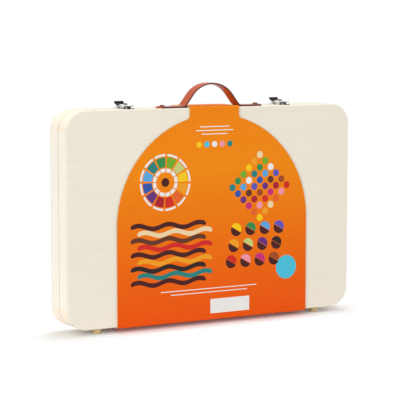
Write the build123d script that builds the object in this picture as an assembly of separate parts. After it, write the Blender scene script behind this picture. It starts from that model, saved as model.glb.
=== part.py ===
"""Mixed media art set: two shallow basswood trays, hinged along the long bottom edge into a slim
carrying case, with a leather strap, two toggle latches, a card sleeve and the supplies inside.

Millimetres. X runs along the case, -Y is the front, Z is up. The origin lies midway between the
feet, on the surface that the case stands on.
"""

import os
from math import cos, radians, sqrt, tan

from build123d import *

os.makedirs("parts", exist_ok=True)

# The wooden case
case_width = 440.0
case_height = 290.0
case_depth = 52.0
corner_radius = 28.0
panel_thickness = 3.0
panel_round = 1.2
rail_thickness = 9.0
seam_gap = 0.4
seam_round = 0.6

# The turned feet, two under each half
foot_height = 7.5
foot_top_radius = 6.5
foot_tip_radius = 5.2
foot_round = 1.2
foot_spread = 172.0
foot_setback = 13.0

# Small butt hinges let into the bottom edges
hinge_spread = 100.0
leaf_length = 24.0
leaf_reach = 12.0
leaf_thickness = 1.0
leaf_bedding = 0.1
knuckle_radius = 2.2
knuckle_play = 0.3
hinge_pin_radius = 1.0
pin_clearance = 0.05
hinge_screw_spread = 14.0
hinge_screw_reach = 7.5

# Screws, shared sizes
screw_shank_radius = 1.0
screw_shank_length = 6.5
pilot_clearance = 0.05
flat_head_radius = 1.9
dome_head_radius = 1.8
dome_head_height = 0.7

# The strap handle, on the front half
strap_width = 20.0
strap_thickness = 2.4
strap_end = 80.0
strap_end_round = 6.0
strap_rise = 30.8
flank_angle = 53.0
arch_foot = 42.5
arch_radius = 37.0
foot_bend_radius = 9.0
handle_setback = 13.0
handle_screw_place = 73.0
handle_screw_radius = 1.4
handle_screw_length = 7.5
handle_head_radius = 3.0
handle_head_height = 1.3
washer_radius = 4.4
washer_thickness = 0.6

# The toggle latches across the seam, on top
latch_spread = 122.0
latch_plate_thickness = 1.0
latch_corner_round = 1.5
base_width = 20.0
base_start = 4.0
base_end = 18.0
base_screw_inset = 3.0
ear_offset = 4.8
ear_thickness = 1.2
pivot_place = 7.0
pivot_height = 3.4
pivot_pin_radius = 0.8
pivot_collar = 1.8
pin_head_radius = 1.2
pin_head_height = 0.3
cheek_offset = 6.2
cheek_thickness = 1.2
lever_plate_clearance = 0.25
lever_end = 17.0
lip_rise = 3.2
lip_reach = 2.4
lip_bend_radius = 2.0
loop_pivot_place = 10.5
loop_pivot_height = 2.7
loop_wire_radius = 0.9
loop_collar = 1.5
loop_leg_offset = 8.4
loop_bend_radius = 1.5
loop_bar_place = -9.0
loop_end_inset = 5.7
catch_width = 13.0
catch_start = -15.0
catch_end = -6.5
catch_lip_height = 3.0
catch_lip_reach = 3.4
catch_lip_width = 9.0
catch_bend_radius = 0.9
bar_rest_gap = 0.25
latch_screw_offset = 4.3

# The card sleeve, slit along the case's seam
board_thickness = 1.5
board_clearance = 0.4
sleeve_width = 297.0
tab_width = 77.0
tab_drop = 14.5
tab_corner_radius = 5.0
fold_radius = 1.2
flap_seam_setback = 3.5

# The moulded trays
tray_height = 13.0
tray_skin = 1.2
tray_clearance = 0.5
tray_margin = 5.0
bay_gap = 6.0
pocket_clearance = 0.4
pocket_round = 1.2
rest_gap = 0.3

# Coloured and graphite pencils
pencil_count = 24
pencil_length = 176.0
pencil_across_flats = 6.9
pencil_cone_length = 21.0
pencil_point_length = 5.0
pencil_point_radius = 1.25
pencil_tip_radius = 0.3
pencil_cut_radius = 4.2
graphite_length = 172.0

# Fine-line markers
marker_count = 12
marker_length = 122.0
marker_cap_length = 42.0
marker_cap_radius = 5.25
marker_barrel_radius = 4.9
marker_plug_radius = 3.2
marker_plug_length = 3.0
marker_nose_radius = 3.6
marker_nose_length = 6.0
marker_edge = 1.2

# Oil pastels
pastel_rows = 2
pastels_per_row = 18
pastel_length = 65.0
pastel_radius = 4.5
pastel_chamfer = 0.7

# Paint tubes
tube_rows = 2
tubes_per_row = 6
tube_length = 64.0
tube_radius = 7.5
crimp_width = 21.0
crimp_thickness = 2.0
crimp_height = 5.0
crimp_step = 0.2
tube_round_start = 46.0
shoulder_height = 2.5
neck_radius = 4.2
tube_cap_radius = 5.6
tube_cap_tip_radius = 4.9
tube_cap_height = 10.5

# Brushes
brush_handle_length = 118.0
brush_tail_radius = 1.2
brush_belly_radius = 3.4
brush_waist_radius = 2.4
brush_belly_place = 86.0
brush_swell = 0.5
ferrule_length = 24.0
ferrule_tip_radius = 2.9
ferrule_wall = 0.2
hair_length = 16.0
hair_belly_radius = 3.1
hair_belly_place = 5.5
hair_tip_radius = 0.5

# Eraser and sharpener
eraser_length = 34.0
eraser_width = 22.0
eraser_thickness = 11.0
eraser_round = 1.6
sharpener_length = 24.0
sharpener_width = 15.0
sharpener_thick_end = 12.0
sharpener_thin_end = 8.0
sharpener_mouth_radius = 4.1
sharpener_bore_radius = 1.2
sharpener_bore_drop = 0.6
sharpener_grip_radius = 14.0
sharpener_grip_depth = 1.3
blade_length = 20.0
blade_width = 8.0
blade_thickness = 0.6

# Places that follow
half_depth = case_depth / 2
half_seam = seam_gap / 2
case_bottom = foot_height
case_top = case_bottom + case_height
case_middle = case_bottom + case_height / 2
panel_inside = half_depth - panel_thickness
rail_depth = panel_inside - half_seam
hinge_axis_height = case_bottom + leaf_thickness - knuckle_radius
mortise_depth = leaf_thickness + leaf_bedding
tray_width = case_width - 2 * (rail_thickness + tray_clearance)
tray_tall = case_height - 2 * (rail_thickness + tray_clearance)
tray_corner = corner_radius - rail_thickness - tray_clearance
pocket_floor = panel_inside - tray_skin
lever_plate_low = pivot_height + pivot_collar + lever_plate_clearance
loop_bar_height = catch_lip_height + bar_rest_gap + loop_wire_radius


def save(name, *shapes):
    """Writes the solids of the shapes to one file."""
    solids = [solid for shape in shapes for solid in shape.solids()]
    export_step(Compound(solids, label=name), f"parts/{name}.step")


def from_front(sketch, outer, depth):
    """A sketch seen from the front, about the case's middle, thickened from y = outer to -Y."""
    plane = Plane(origin=(0, outer, case_middle), x_dir=(1, 0, 0), z_dir=(0, -1, 0))
    return extrude(plane * sketch, depth)


def from_side(sketch, width, x=0.0):
    """A sketch in y and z, made so wide in x about the given place."""
    return Pos(x, 0, 0) * extrude(Plane.YZ * sketch, width / 2, both=True)


def turned(points):
    """A solid of revolution about Z, from the (radius, height) points of its outline."""
    outline = make_face(Polyline((0, points[0][1]), *points, (0, points[-1][1]), close=True))
    return revolve(Plane.XZ * outline, Axis.Z)


def to_front(shape):
    """The same piece on the other half of the case."""
    return mirror(shape, about=Plane.XZ)


def both_sides(shape, spread):
    """Two copies of a piece, left and right of the middle."""
    return [Pos(x, 0, 0) * shape for x in (-spread, spread)]


def dome_screw(shank_radius, shank_length, head_radius, head_height):
    """A round-headed screw that points down, its head's underside at z = 0."""
    head = Cylinder(head_radius, head_height, align=(Align.CENTER, Align.CENTER, Align.MIN))
    head = fillet(head.edges().sort_by(Axis.Z)[-1], 0.7 * head_height)
    shank = Cylinder(shank_radius, shank_length, align=(Align.CENTER, Align.CENTER, Align.MAX))
    return head + shank


def pilot_hole(shank_radius, length):
    """The hole for a screw that points down from z = 0."""
    depth = length + pilot_clearance
    return Cylinder(
        shank_radius + pilot_clearance, depth, align=(Align.CENTER, Align.CENTER, Align.MAX)
    )


def box_between(low, high):
    """A box from its lowest to its highest corner."""
    size = [b - a for a, b in zip(low, high)]
    return Pos(*low) * Box(*size, align=(Align.MIN, Align.MIN, Align.MIN))


# The wooden half that stays, at the back

def wooden_panel():
    """Thin plywood face with rounded corners and an eased outer edge."""
    panel = from_front(
        RectangleRounded(case_width, case_height, corner_radius), half_depth, panel_thickness
    )
    return fillet(panel.faces().sort_by(Axis.Y)[-1].edges(), panel_round)


def wooden_frame():
    """The whole side wall of one half, before it is parted into strips and corner blocks."""
    outside = RectangleRounded(case_width, case_height, corner_radius)
    inside = RectangleRounded(
        case_width - 2 * rail_thickness,
        case_height - 2 * rail_thickness,
        corner_radius - rail_thickness,
    )
    frame = from_front(outside - inside, panel_inside, rail_depth)
    seam_face = frame.faces().sort_by(Axis.Y)[0]
    return fillet(seam_face.outer_wire().edges(), seam_round)


def frame_stretch(frame, x, z, width, height):
    """The part of the side wall inside a rectangle about (x, z), seen from the front."""
    return frame & (Pos(x, 0, case_middle + z) * Box(width, 3 * case_depth, height))


def hinge_screw_places():
    """Where the screws of one hinge sit, from its middle."""
    return [(x, hinge_screw_reach) for x in (-hinge_screw_spread / 2, hinge_screw_spread / 2)]


def flat_screw():
    """A countersunk screw that points up, its flat head flush with z = 0."""
    taper = flat_head_radius - screw_shank_radius
    return turned(
        [
            (flat_head_radius, 0),
            (screw_shank_radius, taper),
            (screw_shank_radius, screw_shank_length),
        ]
    )


def countersink():
    """The hole that a countersunk screw leaves, in the leaf and the rail."""
    wide = flat_head_radius + pilot_clearance
    narrow = screw_shank_radius + pilot_clearance
    return turned(
        [(wide, -1), (wide, 0), (narrow, wide - narrow), (narrow, screw_shank_length + 0.1)]
    )


def bottom_rail(frame):
    """The bottom strip, with a mortise and screw holes for each hinge leaf."""
    rail = frame_stretch(
        frame, 0, -case_height / 2, case_width - 2 * corner_radius, 2 * rail_thickness
    )
    mortise = box_between(
        (-leaf_length / 2 - leaf_bedding, -1, case_bottom - 1),
        (leaf_length / 2 + leaf_bedding, leaf_reach + leaf_bedding, case_bottom + mortise_depth),
    )
    holes = [Pos(x, y, case_bottom) * countersink() for x, y in hinge_screw_places()]
    return rail - both_sides(mortise, hinge_spread) - [
        part for hole in holes for part in both_sides(hole, hinge_spread)
    ]


def top_rail(frame, holes):
    """The top strip, with the screw holes of what is fixed to it."""
    rail = frame_stretch(
        frame, 0, case_height / 2, case_width - 2 * corner_radius, 2 * rail_thickness
    )
    return rail - holes


def side_rails(frame):
    """The two upright strips, left then right."""
    return [
        frame_stretch(frame, x, 0, 2 * rail_thickness, case_height - 2 * corner_radius)
        for x in (-case_width / 2, case_width / 2)
    ]


def corner_blocks(frame):
    """The four rounded blocks that join the strips."""
    x = (case_width - corner_radius) / 2
    z = (case_height - corner_radius) / 2
    return [
        frame_stretch(frame, across * x, up * z, corner_radius, corner_radius)
        for across in (-1, 1)
        for up in (-1, 1)
    ]


def feet():
    """Two turned feet of the back half."""
    foot = turned([(foot_tip_radius, 0), (foot_top_radius, foot_height)])
    foot = fillet(foot.edges().sort_by(Axis.Z)[0], foot_round)
    return both_sides(Pos(0, foot_setback, 0) * foot, foot_spread)


# Hinges

def hinge_leaf(own_knuckles):
    """One leaf on the back half, about x = 0, with its knuckles in the given thirds."""
    plate = box_between(
        (-leaf_length / 2, 0, case_bottom),
        (leaf_length / 2, leaf_reach, case_bottom + leaf_thickness),
    )
    third = leaf_length / 3
    axis = Pos(0, 0, hinge_axis_height) * Rot(0, 90, 0)
    leaf = plate
    for index in range(3):
        middle = (index - 1) * third
        if index in own_knuckles:
            length = third - knuckle_play
            leaf += Pos(middle, 0, 0) * axis * Cylinder(knuckle_radius, length)
        else:
            notch = knuckle_radius + knuckle_play
            leaf -= box_between(
                (middle - third / 2, -1, case_bottom - 1),
                (middle + third / 2, notch, case_bottom + 2 * leaf_thickness),
            )
    leaf -= axis * Cylinder(hinge_pin_radius + pin_clearance, 2 * leaf_length)
    holes = [Pos(x, y, case_bottom) * countersink() for x, y in hinge_screw_places()]
    return leaf - holes


def hinge_pin():
    """A plain pin, peened flush with the end knuckles."""
    return Pos(0, 0, hinge_axis_height) * Rot(0, 90, 0) * Cylinder(hinge_pin_radius, leaf_length)


def hinge_screws():
    """The countersunk screws of both back leaves."""
    return [
        piece
        for x, y in hinge_screw_places()
        for piece in both_sides(Pos(x, y, case_bottom) * flat_screw(), hinge_spread)
    ]


# Strap handle

def strap_path():
    """The middle line of the strap, seen from the front."""
    shoulder = arch_foot - strap_rise / tan(radians(flank_angle))
    middle = case_top + strap_thickness / 2
    high = middle + strap_rise
    return FilletPolyline(
        (-strap_end, middle),
        (-arch_foot, middle),
        (-shoulder, high),
        (shoulder, high),
        (arch_foot, middle),
        (strap_end, middle),
        radius=[foot_bend_radius, arch_radius, arch_radius, foot_bend_radius],
    )


def handle_strap():
    """Leather strap bent into a bell-shaped arch, with flat rounded ends."""
    ribbon = trace(strap_path(), strap_thickness)
    strap = Pos(0, -handle_setback, 0) * extrude(Plane.XZ * ribbon, strap_width / 2, both=True)
    corners = [
        edge
        for edge in strap.edges().filter_by(Axis.Z)
        if abs(abs(edge.center().X) - strap_end) < 0.01
    ]
    strap = fillet(corners, strap_end_round)
    hole = Cylinder(handle_screw_radius + pilot_clearance, 6 * strap_thickness)
    return strap - both_sides(Pos(0, -handle_setback, case_top) * hole, handle_screw_place)


def handle_washers():
    """A dished ring under each screw of the strap."""
    ring = Cylinder(washer_radius, washer_thickness, align=(Align.CENTER, Align.CENTER, Align.MIN))
    ring = fillet(ring.edges().sort_by(Axis.Z)[-1], 0.6 * washer_thickness)
    ring -= Cylinder(handle_screw_radius + pilot_clearance, 6 * washer_thickness)
    top = case_top + strap_thickness
    return both_sides(Pos(0, -handle_setback, top) * ring, handle_screw_place)


def handle_screws():
    """The round-headed screws through washer and strap into the rail."""
    through = strap_thickness + washer_thickness
    screw = dome_screw(
        handle_screw_radius, handle_screw_length, handle_head_radius, handle_head_height
    )
    return both_sides(Pos(0, -handle_setback, case_top + through) * screw, handle_screw_place)


def handle_pilot_holes():
    """The holes of the strap's screws in the front top rail."""
    length = handle_screw_length - strap_thickness - washer_thickness
    hole = pilot_hole(handle_screw_radius, length)
    return both_sides(Pos(0, -handle_setback, case_top) * hole, handle_screw_place)


# Toggle latches, about x = 0 and with z = 0 on the top of the case

def latch_base():
    """Plate screwed to the back half, with two ears that carry the lever's pin."""
    plate = box_between(
        (-base_width / 2, base_start, 0), (base_width / 2, base_end, latch_plate_thickness)
    )
    plate = fillet(plate.edges().filter_by(Axis.Z), latch_corner_round)
    ear_shape = Pos(pivot_place, pivot_height) * Circle(pivot_collar) + Pos(
        pivot_place, pivot_height / 2
    ) * Rectangle(2 * pivot_collar, pivot_height)
    for x in (-ear_offset, ear_offset):
        plate += from_side(ear_shape, ear_thickness, x)
    bore = Cylinder(pivot_pin_radius + pin_clearance, 2 * base_width)
    plate -= Pos(0, pivot_place, pivot_height) * Rot(0, 90, 0) * bore
    hole = Cylinder(screw_shank_radius + pilot_clearance, 6 * latch_plate_thickness)
    return plate - [Pos(0, y, 0) * hole for y in base_screw_places()]


def base_screw_places():
    """The two screws between and behind the ears, in y."""
    return (pivot_place, base_end - base_screw_inset)


def latch_lever():
    """Folded lever: two cheeks on the pin, a cover plate and a curled finger lip."""
    low = lever_plate_low
    middle = low + latch_plate_thickness / 2
    bend = FilletPolyline(
        (pivot_place, middle),
        (lever_end, middle),
        (lever_end + lip_reach, middle + lip_rise),
        radius=lip_bend_radius,
    )
    cover_width = 2 * cheek_offset + cheek_thickness
    lever = from_side(trace(bend, latch_plate_thickness), cover_width)
    cheek_shape = make_hull(
        (
            (Pos(pivot_place, pivot_height) * Circle(pivot_collar))
            + (Pos(loop_pivot_place, loop_pivot_height) * Circle(loop_collar))
        ).edges()
    )
    web = make_face(
        Polyline(
            (pivot_place, pivot_height),
            (loop_pivot_place, loop_pivot_height),
            (lever_end - lip_bend_radius, middle),
            (pivot_place, middle),
            close=True,
        )
    )
    for x in (-cheek_offset, cheek_offset):
        lever += from_side(cheek_shape + web, cheek_thickness, x)
    pin_bore = Cylinder(pivot_pin_radius + pin_clearance, 2 * base_width)
    loop_bore = Cylinder(loop_wire_radius + pin_clearance, 2 * base_width)
    lever -= Pos(0, pivot_place, pivot_height) * Rot(0, 90, 0) * pin_bore
    return lever - Pos(0, loop_pivot_place, loop_pivot_height) * Rot(0, 90, 0) * loop_bore


def latch_pin():
    """The lever's pin, with peened ends outside the cheeks."""
    reach = cheek_offset + cheek_thickness / 2 + pin_clearance
    pin = Cylinder(pivot_pin_radius, 2 * reach)
    for side in (-1, 1):
        head = Cylinder(pin_head_radius, pin_head_height)
        pin += Pos(0, 0, side * (reach + pin_head_height / 2)) * head
    return Pos(0, pivot_place, pivot_height) * Rot(0, 90, 0) * pin


def latch_loop():
    """Wire loop whose turned-in ends sit in the lever's cheeks and whose bar meets the catch."""
    back = (loop_pivot_place, loop_pivot_height)
    front = (loop_bar_place, loop_bar_height)
    path = FilletPolyline(
        (-loop_end_inset, *back),
        (-loop_leg_offset, *back),
        (-loop_leg_offset, *front),
        (loop_leg_offset, *front),
        (loop_leg_offset, *back),
        (loop_end_inset, *back),
        radius=loop_bend_radius,
    )
    start = Plane(origin=path @ 0, z_dir=path % 0)
    return sweep(start * Circle(loop_wire_radius), path=path)


def latch_catch():
    """Plate screwed to the front half, its seam edge rolled up into a lip under the loop's bar."""
    plate = box_between(
        (-catch_width / 2, catch_start, 0), (catch_width / 2, catch_end, latch_plate_thickness)
    )
    plate = fillet(plate.edges().filter_by(Axis.Z).group_by(Axis.Y)[0], latch_corner_round)
    half = latch_plate_thickness / 2
    lip = FilletPolyline(
        (catch_end - catch_lip_reach, half),
        (catch_end, half),
        (catch_end, catch_lip_height - half),
        (catch_end - catch_lip_reach, catch_lip_height - half),
        radius=catch_bend_radius,
    )
    plate += from_side(trace(lip, latch_plate_thickness), catch_lip_width)
    hole = Cylinder(screw_shank_radius + pilot_clearance, 6 * latch_plate_thickness)
    return plate - [Pos(x, y, 0) * hole for x, y in catch_screw_places()]


def catch_screw_places():
    """The two screws side by side, midway between the catch's front edge and its lip."""
    middle = (catch_start + catch_end - catch_lip_reach) / 2
    return [(x, middle) for x in (-latch_screw_offset, latch_screw_offset)]


def latch_screw(x, y):
    """A round-headed screw through a latch plate."""
    screw = dome_screw(
        screw_shank_radius, screw_shank_length, dome_head_radius, dome_head_height
    )
    return Pos(x, y, latch_plate_thickness) * screw


def latch_pilot_holes(places):
    """The holes in the top rail under both latches."""
    hole = pilot_hole(screw_shank_radius, screw_shank_length - latch_plate_thickness)
    return [
        copy for x, y in places for copy in both_sides(Pos(x, y, case_top) * hole, latch_spread)
    ]


# Card sleeve

def sleeve_face():
    """The arch-topped front of the sleeve with its narrow tab, about the case's middle."""
    radius = sleeve_width / 2
    spring = case_height / 2 - tab_drop - sqrt(radius**2 - (tab_width / 2) ** 2)
    low = -case_height / 2 - board_clearance - board_thickness
    high = case_height / 2 + board_clearance + board_thickness
    body = Pos(0, (low + spring) / 2) * Rectangle(sleeve_width, spring - low)
    arch = Pos(0, spring) * Circle(radius)
    tab = Pos(0, (spring + high) / 2) * Rectangle(tab_width, high - spring)
    face = body + arch + tab
    lap = Pos(0, low - radius) * Rectangle(4 * radius, 2 * radius)
    face = face - lap
    meets = [
        vertex
        for vertex in face.vertices()
        if abs(abs(vertex.X) - tab_width / 2) < 0.01 and vertex.Y < high - 1
    ]
    return fillet(meets, tab_corner_radius)


def sleeve_board():
    """The back board: an arched face, a tab over the top and a flap under the bottom."""
    outer = half_depth + board_clearance + board_thickness
    face = from_front(sleeve_face(), outer, board_thickness)
    tab = box_between(
        (-tab_width / 2, half_seam, case_top + board_clearance),
        (tab_width / 2, outer, case_top + board_clearance + board_thickness),
    )
    flap = box_between(
        (-sleeve_width / 2, flap_seam_setback, case_bottom - board_clearance - board_thickness),
        (sleeve_width / 2, outer, case_bottom - board_clearance),
    )
    board = face + tab + flap
    folds = [
        edge
        for edge in board.edges().filter_by(Axis.X)
        if abs(edge.center().Y - outer) < 0.01
    ]
    return fillet(folds, fold_radius)


# Trays and their layout, seen from the front about the case's middle

def row_places(start, size, gap, count):
    """The middles of equal things side by side, the first gap split between both ends."""
    return [start + gap / 2 + size / 2 + index * (size + gap) for index in range(count)]


pencil_across_corners = pencil_across_flats / cos(radians(30))
marker_across = 2 * marker_cap_radius
brush_length = brush_handle_length + ferrule_length + hair_length

back_free = (
    tray_width
    - 2 * tray_margin
    - bay_gap
    - pencil_count * pencil_across_corners
    - marker_count * marker_across
)
back_gap = back_free / (pencil_count + marker_count)
pencil_bay = pencil_count * (pencil_across_corners + back_gap)
tray_left = -tray_width / 2 + tray_margin
tray_low = -tray_tall / 2 + tray_margin
pencil_places = row_places(tray_left, pencil_across_corners, back_gap, pencil_count)
marker_places = row_places(tray_left + pencil_bay + bay_gap, marker_across, back_gap, marker_count)

loose_across = 2 * brush_belly_radius
back_rows_free = tray_tall - 2 * tray_margin - bay_gap - pencil_length - 2 * pencil_across_corners
back_row_gap = back_rows_free / 4
pencil_low = tray_low + back_row_gap
loose_rows = row_places(
    pencil_low + pencil_length + bay_gap, pencil_across_corners, back_row_gap, 2
)
marker_low = pencil_low + (pencil_length - marker_length) / 2

front_free = (
    tray_width
    - 2 * tray_margin
    - bay_gap
    - pastels_per_row * 2 * pastel_radius
    - tubes_per_row * crimp_width
)
front_gap = front_free / (pastels_per_row + tubes_per_row)
pastel_bay = pastels_per_row * (2 * pastel_radius + front_gap)
pastel_columns = row_places(tray_left, 2 * pastel_radius, front_gap, pastels_per_row)
tube_columns = row_places(
    tray_left + pastel_bay + bay_gap, crimp_width, front_gap, tubes_per_row
)

tube_overall = tube_length + shoulder_height + tube_cap_height
pastel_rows_free = (
    tray_tall - 2 * tray_margin - bay_gap - pastel_rows * pastel_length - eraser_width
)
pastel_row_gap = pastel_rows_free / (pastel_rows + 1)
pastel_floor = tray_low + eraser_width + pastel_row_gap + bay_gap
pastel_middles = row_places(pastel_floor, pastel_length, pastel_row_gap, pastel_rows)
tube_rows_gap = (tray_tall - 2 * tray_margin - tube_rows * tube_overall) / tube_rows
tube_middles = row_places(tray_low, tube_overall, tube_rows_gap, tube_rows)
loose_middle = tray_low + pastel_row_gap / 2 + eraser_width / 2
eraser_place = tray_left + pastel_bay / 3
sharpener_place = tray_left + 2 * pastel_bay / 3


def back_pockets():
    """Middle, width and height of the pockets for pencils, markers and brushes."""
    pencil_middle = pencil_low + pencil_length / 2
    marker_middle = marker_low + marker_length / 2
    found = [(x, pencil_middle, pencil_across_corners, pencil_length) for x in pencil_places]
    found += [(x, marker_middle, marker_across, marker_length) for x in marker_places]
    for z in loose_rows:
        found.append((-tray_width / 4, z, brush_length, loose_across))
        found.append((tray_width / 4, z, graphite_length, pencil_across_corners))
    return found


def front_pockets():
    """The same for the pastels, the tubes, the eraser and the sharpener."""
    found = [
        (x, z, 2 * pastel_radius, pastel_length) for z in pastel_middles for x in pastel_columns
    ]
    found += [(x, z, crimp_width, tube_overall) for z in tube_middles for x in tube_columns]
    found.append((eraser_place, loose_middle, eraser_length, eraser_width))
    found.append((sharpener_place, loose_middle, sharpener_length, sharpener_width))
    return found


def pocket_outlines(pockets, room):
    """Rounded outlines with the given room round what each pocket holds."""
    return [
        Pos(x, z) * RectangleRounded(width + 2 * room, height + 2 * room, pocket_round)
        for x, z, width, height in pockets
    ]


def moulded_tray(pockets):
    """A thin moulded tray on the back panel: deck, rim and pockets with a floor."""
    openings = pocket_outlines(pockets, pocket_clearance)
    tubs = Sketch() + pocket_outlines(pockets, pocket_clearance + tray_skin)
    outline = RectangleRounded(tray_width, tray_tall, tray_corner)
    inner = RectangleRounded(
        tray_width - 2 * tray_skin, tray_tall - 2 * tray_skin, tray_corner - tray_skin
    )
    deck = panel_inside - tray_height + tray_skin
    tray = from_front(outline - openings, deck, tray_skin)
    tray += from_front(outline - inner, panel_inside, tray_height - tray_skin)
    tray += from_front(tubs - openings, pocket_floor, tray_height - 2 * tray_skin)
    return tray + from_front(tubs, panel_inside, tray_skin)


# Supplies, each upright from z = 0 about the Z axis

def pencil_wood(length):
    """A hexagonal barrel cut to a cone at its top."""
    barrel = extrude(
        RegularPolygon(pencil_across_flats / 2, 6, major_radius=False), length
    )
    cut = turned(
        [
            (pencil_cut_radius, 0),
            (pencil_cut_radius, length - pencil_cone_length),
            (pencil_point_radius, length - pencil_point_length),
        ]
    )
    return barrel & cut


def pencil_point(length):
    """The bare colour or graphite at the tip."""
    return turned(
        [(pencil_point_radius, length - pencil_point_length), (pencil_tip_radius, length)]
    )


def marker_barrel():
    """The dark barrel with a chamfered tail and a plug for the cap."""
    top = marker_length - marker_cap_length
    return turned(
        [
            (marker_barrel_radius - marker_edge, 0),
            (marker_barrel_radius, marker_edge),
            (marker_barrel_radius, top),
            (marker_plug_radius, top),
            (marker_plug_radius, top + marker_plug_length - pocket_clearance),
        ]
    )


def marker_cap():
    """The coloured cap, tapered to a blunt nose."""
    foot = marker_length - marker_cap_length
    cap = turned(
        [
            (marker_cap_radius, foot),
            (marker_cap_radius, marker_length - marker_nose_length),
            (marker_nose_radius, marker_length - marker_edge),
            (marker_nose_radius - marker_edge, marker_length),
        ]
    )
    hole = Cylinder(
        marker_plug_radius + pocket_clearance / 2,
        marker_plug_length,
        align=(Align.CENTER, Align.CENTER, Align.MIN),
    )
    return cap - Pos(0, 0, foot) * hole


def oil_pastel():
    """A round stick with chamfered ends."""
    high = pastel_length - pastel_chamfer
    slim = pastel_radius - pastel_chamfer
    return turned(
        [
            (slim, 0),
            (pastel_radius, pastel_chamfer),
            (pastel_radius, high),
            (slim, pastel_length),
        ]
    )


def tube_body():
    """A soft metal tube: folded crimp, flattening body, shoulder and neck."""
    crimp = Pos(0, 0, crimp_height / 2) * Box(crimp_width, crimp_thickness, crimp_height)
    flat = Pos(0, 0, crimp_height) * SlotOverall(
        crimp_width - 2 * crimp_step, crimp_thickness - 2 * crimp_step
    )
    waist = Pos(0, 0, tube_round_start) * Circle(tube_radius)
    body = loft([flat, waist], ruled=True)
    upper = turned(
        [
            (tube_radius, tube_round_start),
            (tube_radius, tube_length),
            (neck_radius, tube_length + shoulder_height),
        ]
    )
    return crimp + body + upper


def tube_cap():
    """A round cap that tapers a little."""
    foot = tube_length + shoulder_height
    return turned([(tube_cap_radius, foot), (tube_cap_tip_radius, foot + tube_cap_height)])


def brush_handle():
    """A turned wooden handle, slim at the tail and full below the ferrule."""
    tail = (brush_tail_radius, 0)
    belly = (brush_belly_radius, brush_belly_place)
    waist = (brush_waist_radius, brush_handle_length)
    outline = [
        SagittaArc(tail, belly, -brush_swell),
        SagittaArc(belly, waist, -brush_swell / 2),
        Polyline(waist, (0, brush_handle_length), (0, 0), tail),
    ]
    return revolve(Plane.XZ * make_face(outline), Axis.Z)


def brush_ferrule():
    """The crimped metal sleeve between handle and hair."""
    foot = brush_handle_length
    return turned(
        [
            (brush_waist_radius + ferrule_wall, foot),
            (ferrule_tip_radius, foot + ferrule_length),
        ]
    )


def brush_hair():
    """A tuft that swells and comes to a point."""
    foot = brush_handle_length + ferrule_length
    return turned(
        [
            (ferrule_tip_radius - ferrule_wall, foot),
            (hair_belly_radius, foot + hair_belly_place),
            (hair_tip_radius, foot + hair_length),
        ]
    )


def eraser():
    """A plain block with soft edges, about its middle."""
    block = Box(eraser_length, eraser_thickness, eraser_width)
    return fillet(block.edges(), eraser_round)


def sharpener_body():
    """A wedge with a tapered bore along it, gripped at two scooped sides."""
    half = sharpener_length / 2
    wedge = make_face(
        Polyline(
            (-half, 0),
            (half, 0),
            (half, -sharpener_thick_end),
            (-half, -sharpener_thin_end),
            close=True,
        )
    )
    body = extrude(wedge, sharpener_width / 2, both=True)
    for side in (-1, 1):
        offset = sharpener_width / 2 + sharpener_grip_radius - sharpener_grip_depth
        scoop = Rot(90, 0, 0) * Cylinder(sharpener_grip_radius, 4 * sharpener_thick_end)
        body -= Pos(0, 0, side * offset) * scoop
    bore = Cone(sharpener_mouth_radius, sharpener_bore_radius, sharpener_length + 2)
    depth = sharpener_thin_end / 2 + sharpener_bore_drop
    return body - Pos(0, -depth, 0) * Rot(0, -90, 0) * bore


def sharpener_top():
    """The sloping face of the wedge as a plane, from its middle."""
    slope = (sharpener_thick_end - sharpener_thin_end) / sharpener_length
    middle = -(sharpener_thick_end + sharpener_thin_end) / 2
    return Plane(origin=(0, middle, 0), x_dir=(1, -slope, 0), z_dir=(-slope, -1, 0))


def sharpener_blade():
    """The steel blade on the sloping face."""
    blade = Box(blade_length, blade_width, blade_thickness)
    return sharpener_top() * Pos(0, 0, blade_thickness / 2) * blade


def sharpener_screw():
    """The blade's screw head."""
    head = Cylinder(dome_head_radius, dome_head_height)
    return sharpener_top() * Pos(0, 0, blade_thickness + dome_head_height / 2) * head


def seated(radius):
    """Where the middle of a round thing lies in a back pocket, in y."""
    return pocket_floor - rest_gap - radius


def upright(shape, side, radius, places):
    """Copies of an upright supply at (x, low z) places, in the back (1) or front (-1) tray."""
    return [Pos(x, side * seated(radius), case_middle + z) * shape for x, z in places]


def lying(shape, radius, length, x, rows):
    """Copies of a supply laid along X in the back tray, about x."""
    laid = Rot(0, 90, 0) * shape
    return [Pos(x - length / 2, seated(radius), case_middle + z) * laid for z in rows]


# Build and write every piece

frame = wooden_frame()
back_latch_screws = [(0, y) for y in base_screw_places()]
front_latch_screws = catch_screw_places()

save("back_panel", wooden_panel())
save("back_top_rail", top_rail(frame, latch_pilot_holes(back_latch_screws)))
save("back_bottom_rail", bottom_rail(frame))
save("back_left_rail", side_rails(frame)[0])
save("back_right_rail", side_rails(frame)[1])
save("back_corner_blocks", *corner_blocks(frame))
save("back_feet", *feet())

front_frame = to_front(frame)
front_holes = handle_pilot_holes() + latch_pilot_holes(front_latch_screws)
save("front_panel", to_front(wooden_panel()))
save("front_top_rail", top_rail(front_frame, front_holes))
save("front_bottom_rail", to_front(bottom_rail(frame)))
save("front_left_rail", to_front(side_rails(frame)[0]))
save("front_right_rail", to_front(side_rails(frame)[1]))
save("front_corner_blocks", *[to_front(block) for block in corner_blocks(frame)])
save("front_feet", *[to_front(foot) for foot in feet()])

save("back_hinge_leaves", *both_sides(hinge_leaf((0, 2)), hinge_spread))
save("front_hinge_leaves", *both_sides(to_front(hinge_leaf((1,))), hinge_spread))
save("hinge_pins", *both_sides(hinge_pin(), hinge_spread))
save("back_hinge_screws", *hinge_screws())
save("front_hinge_screws", *[to_front(screw) for screw in hinge_screws()])

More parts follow.
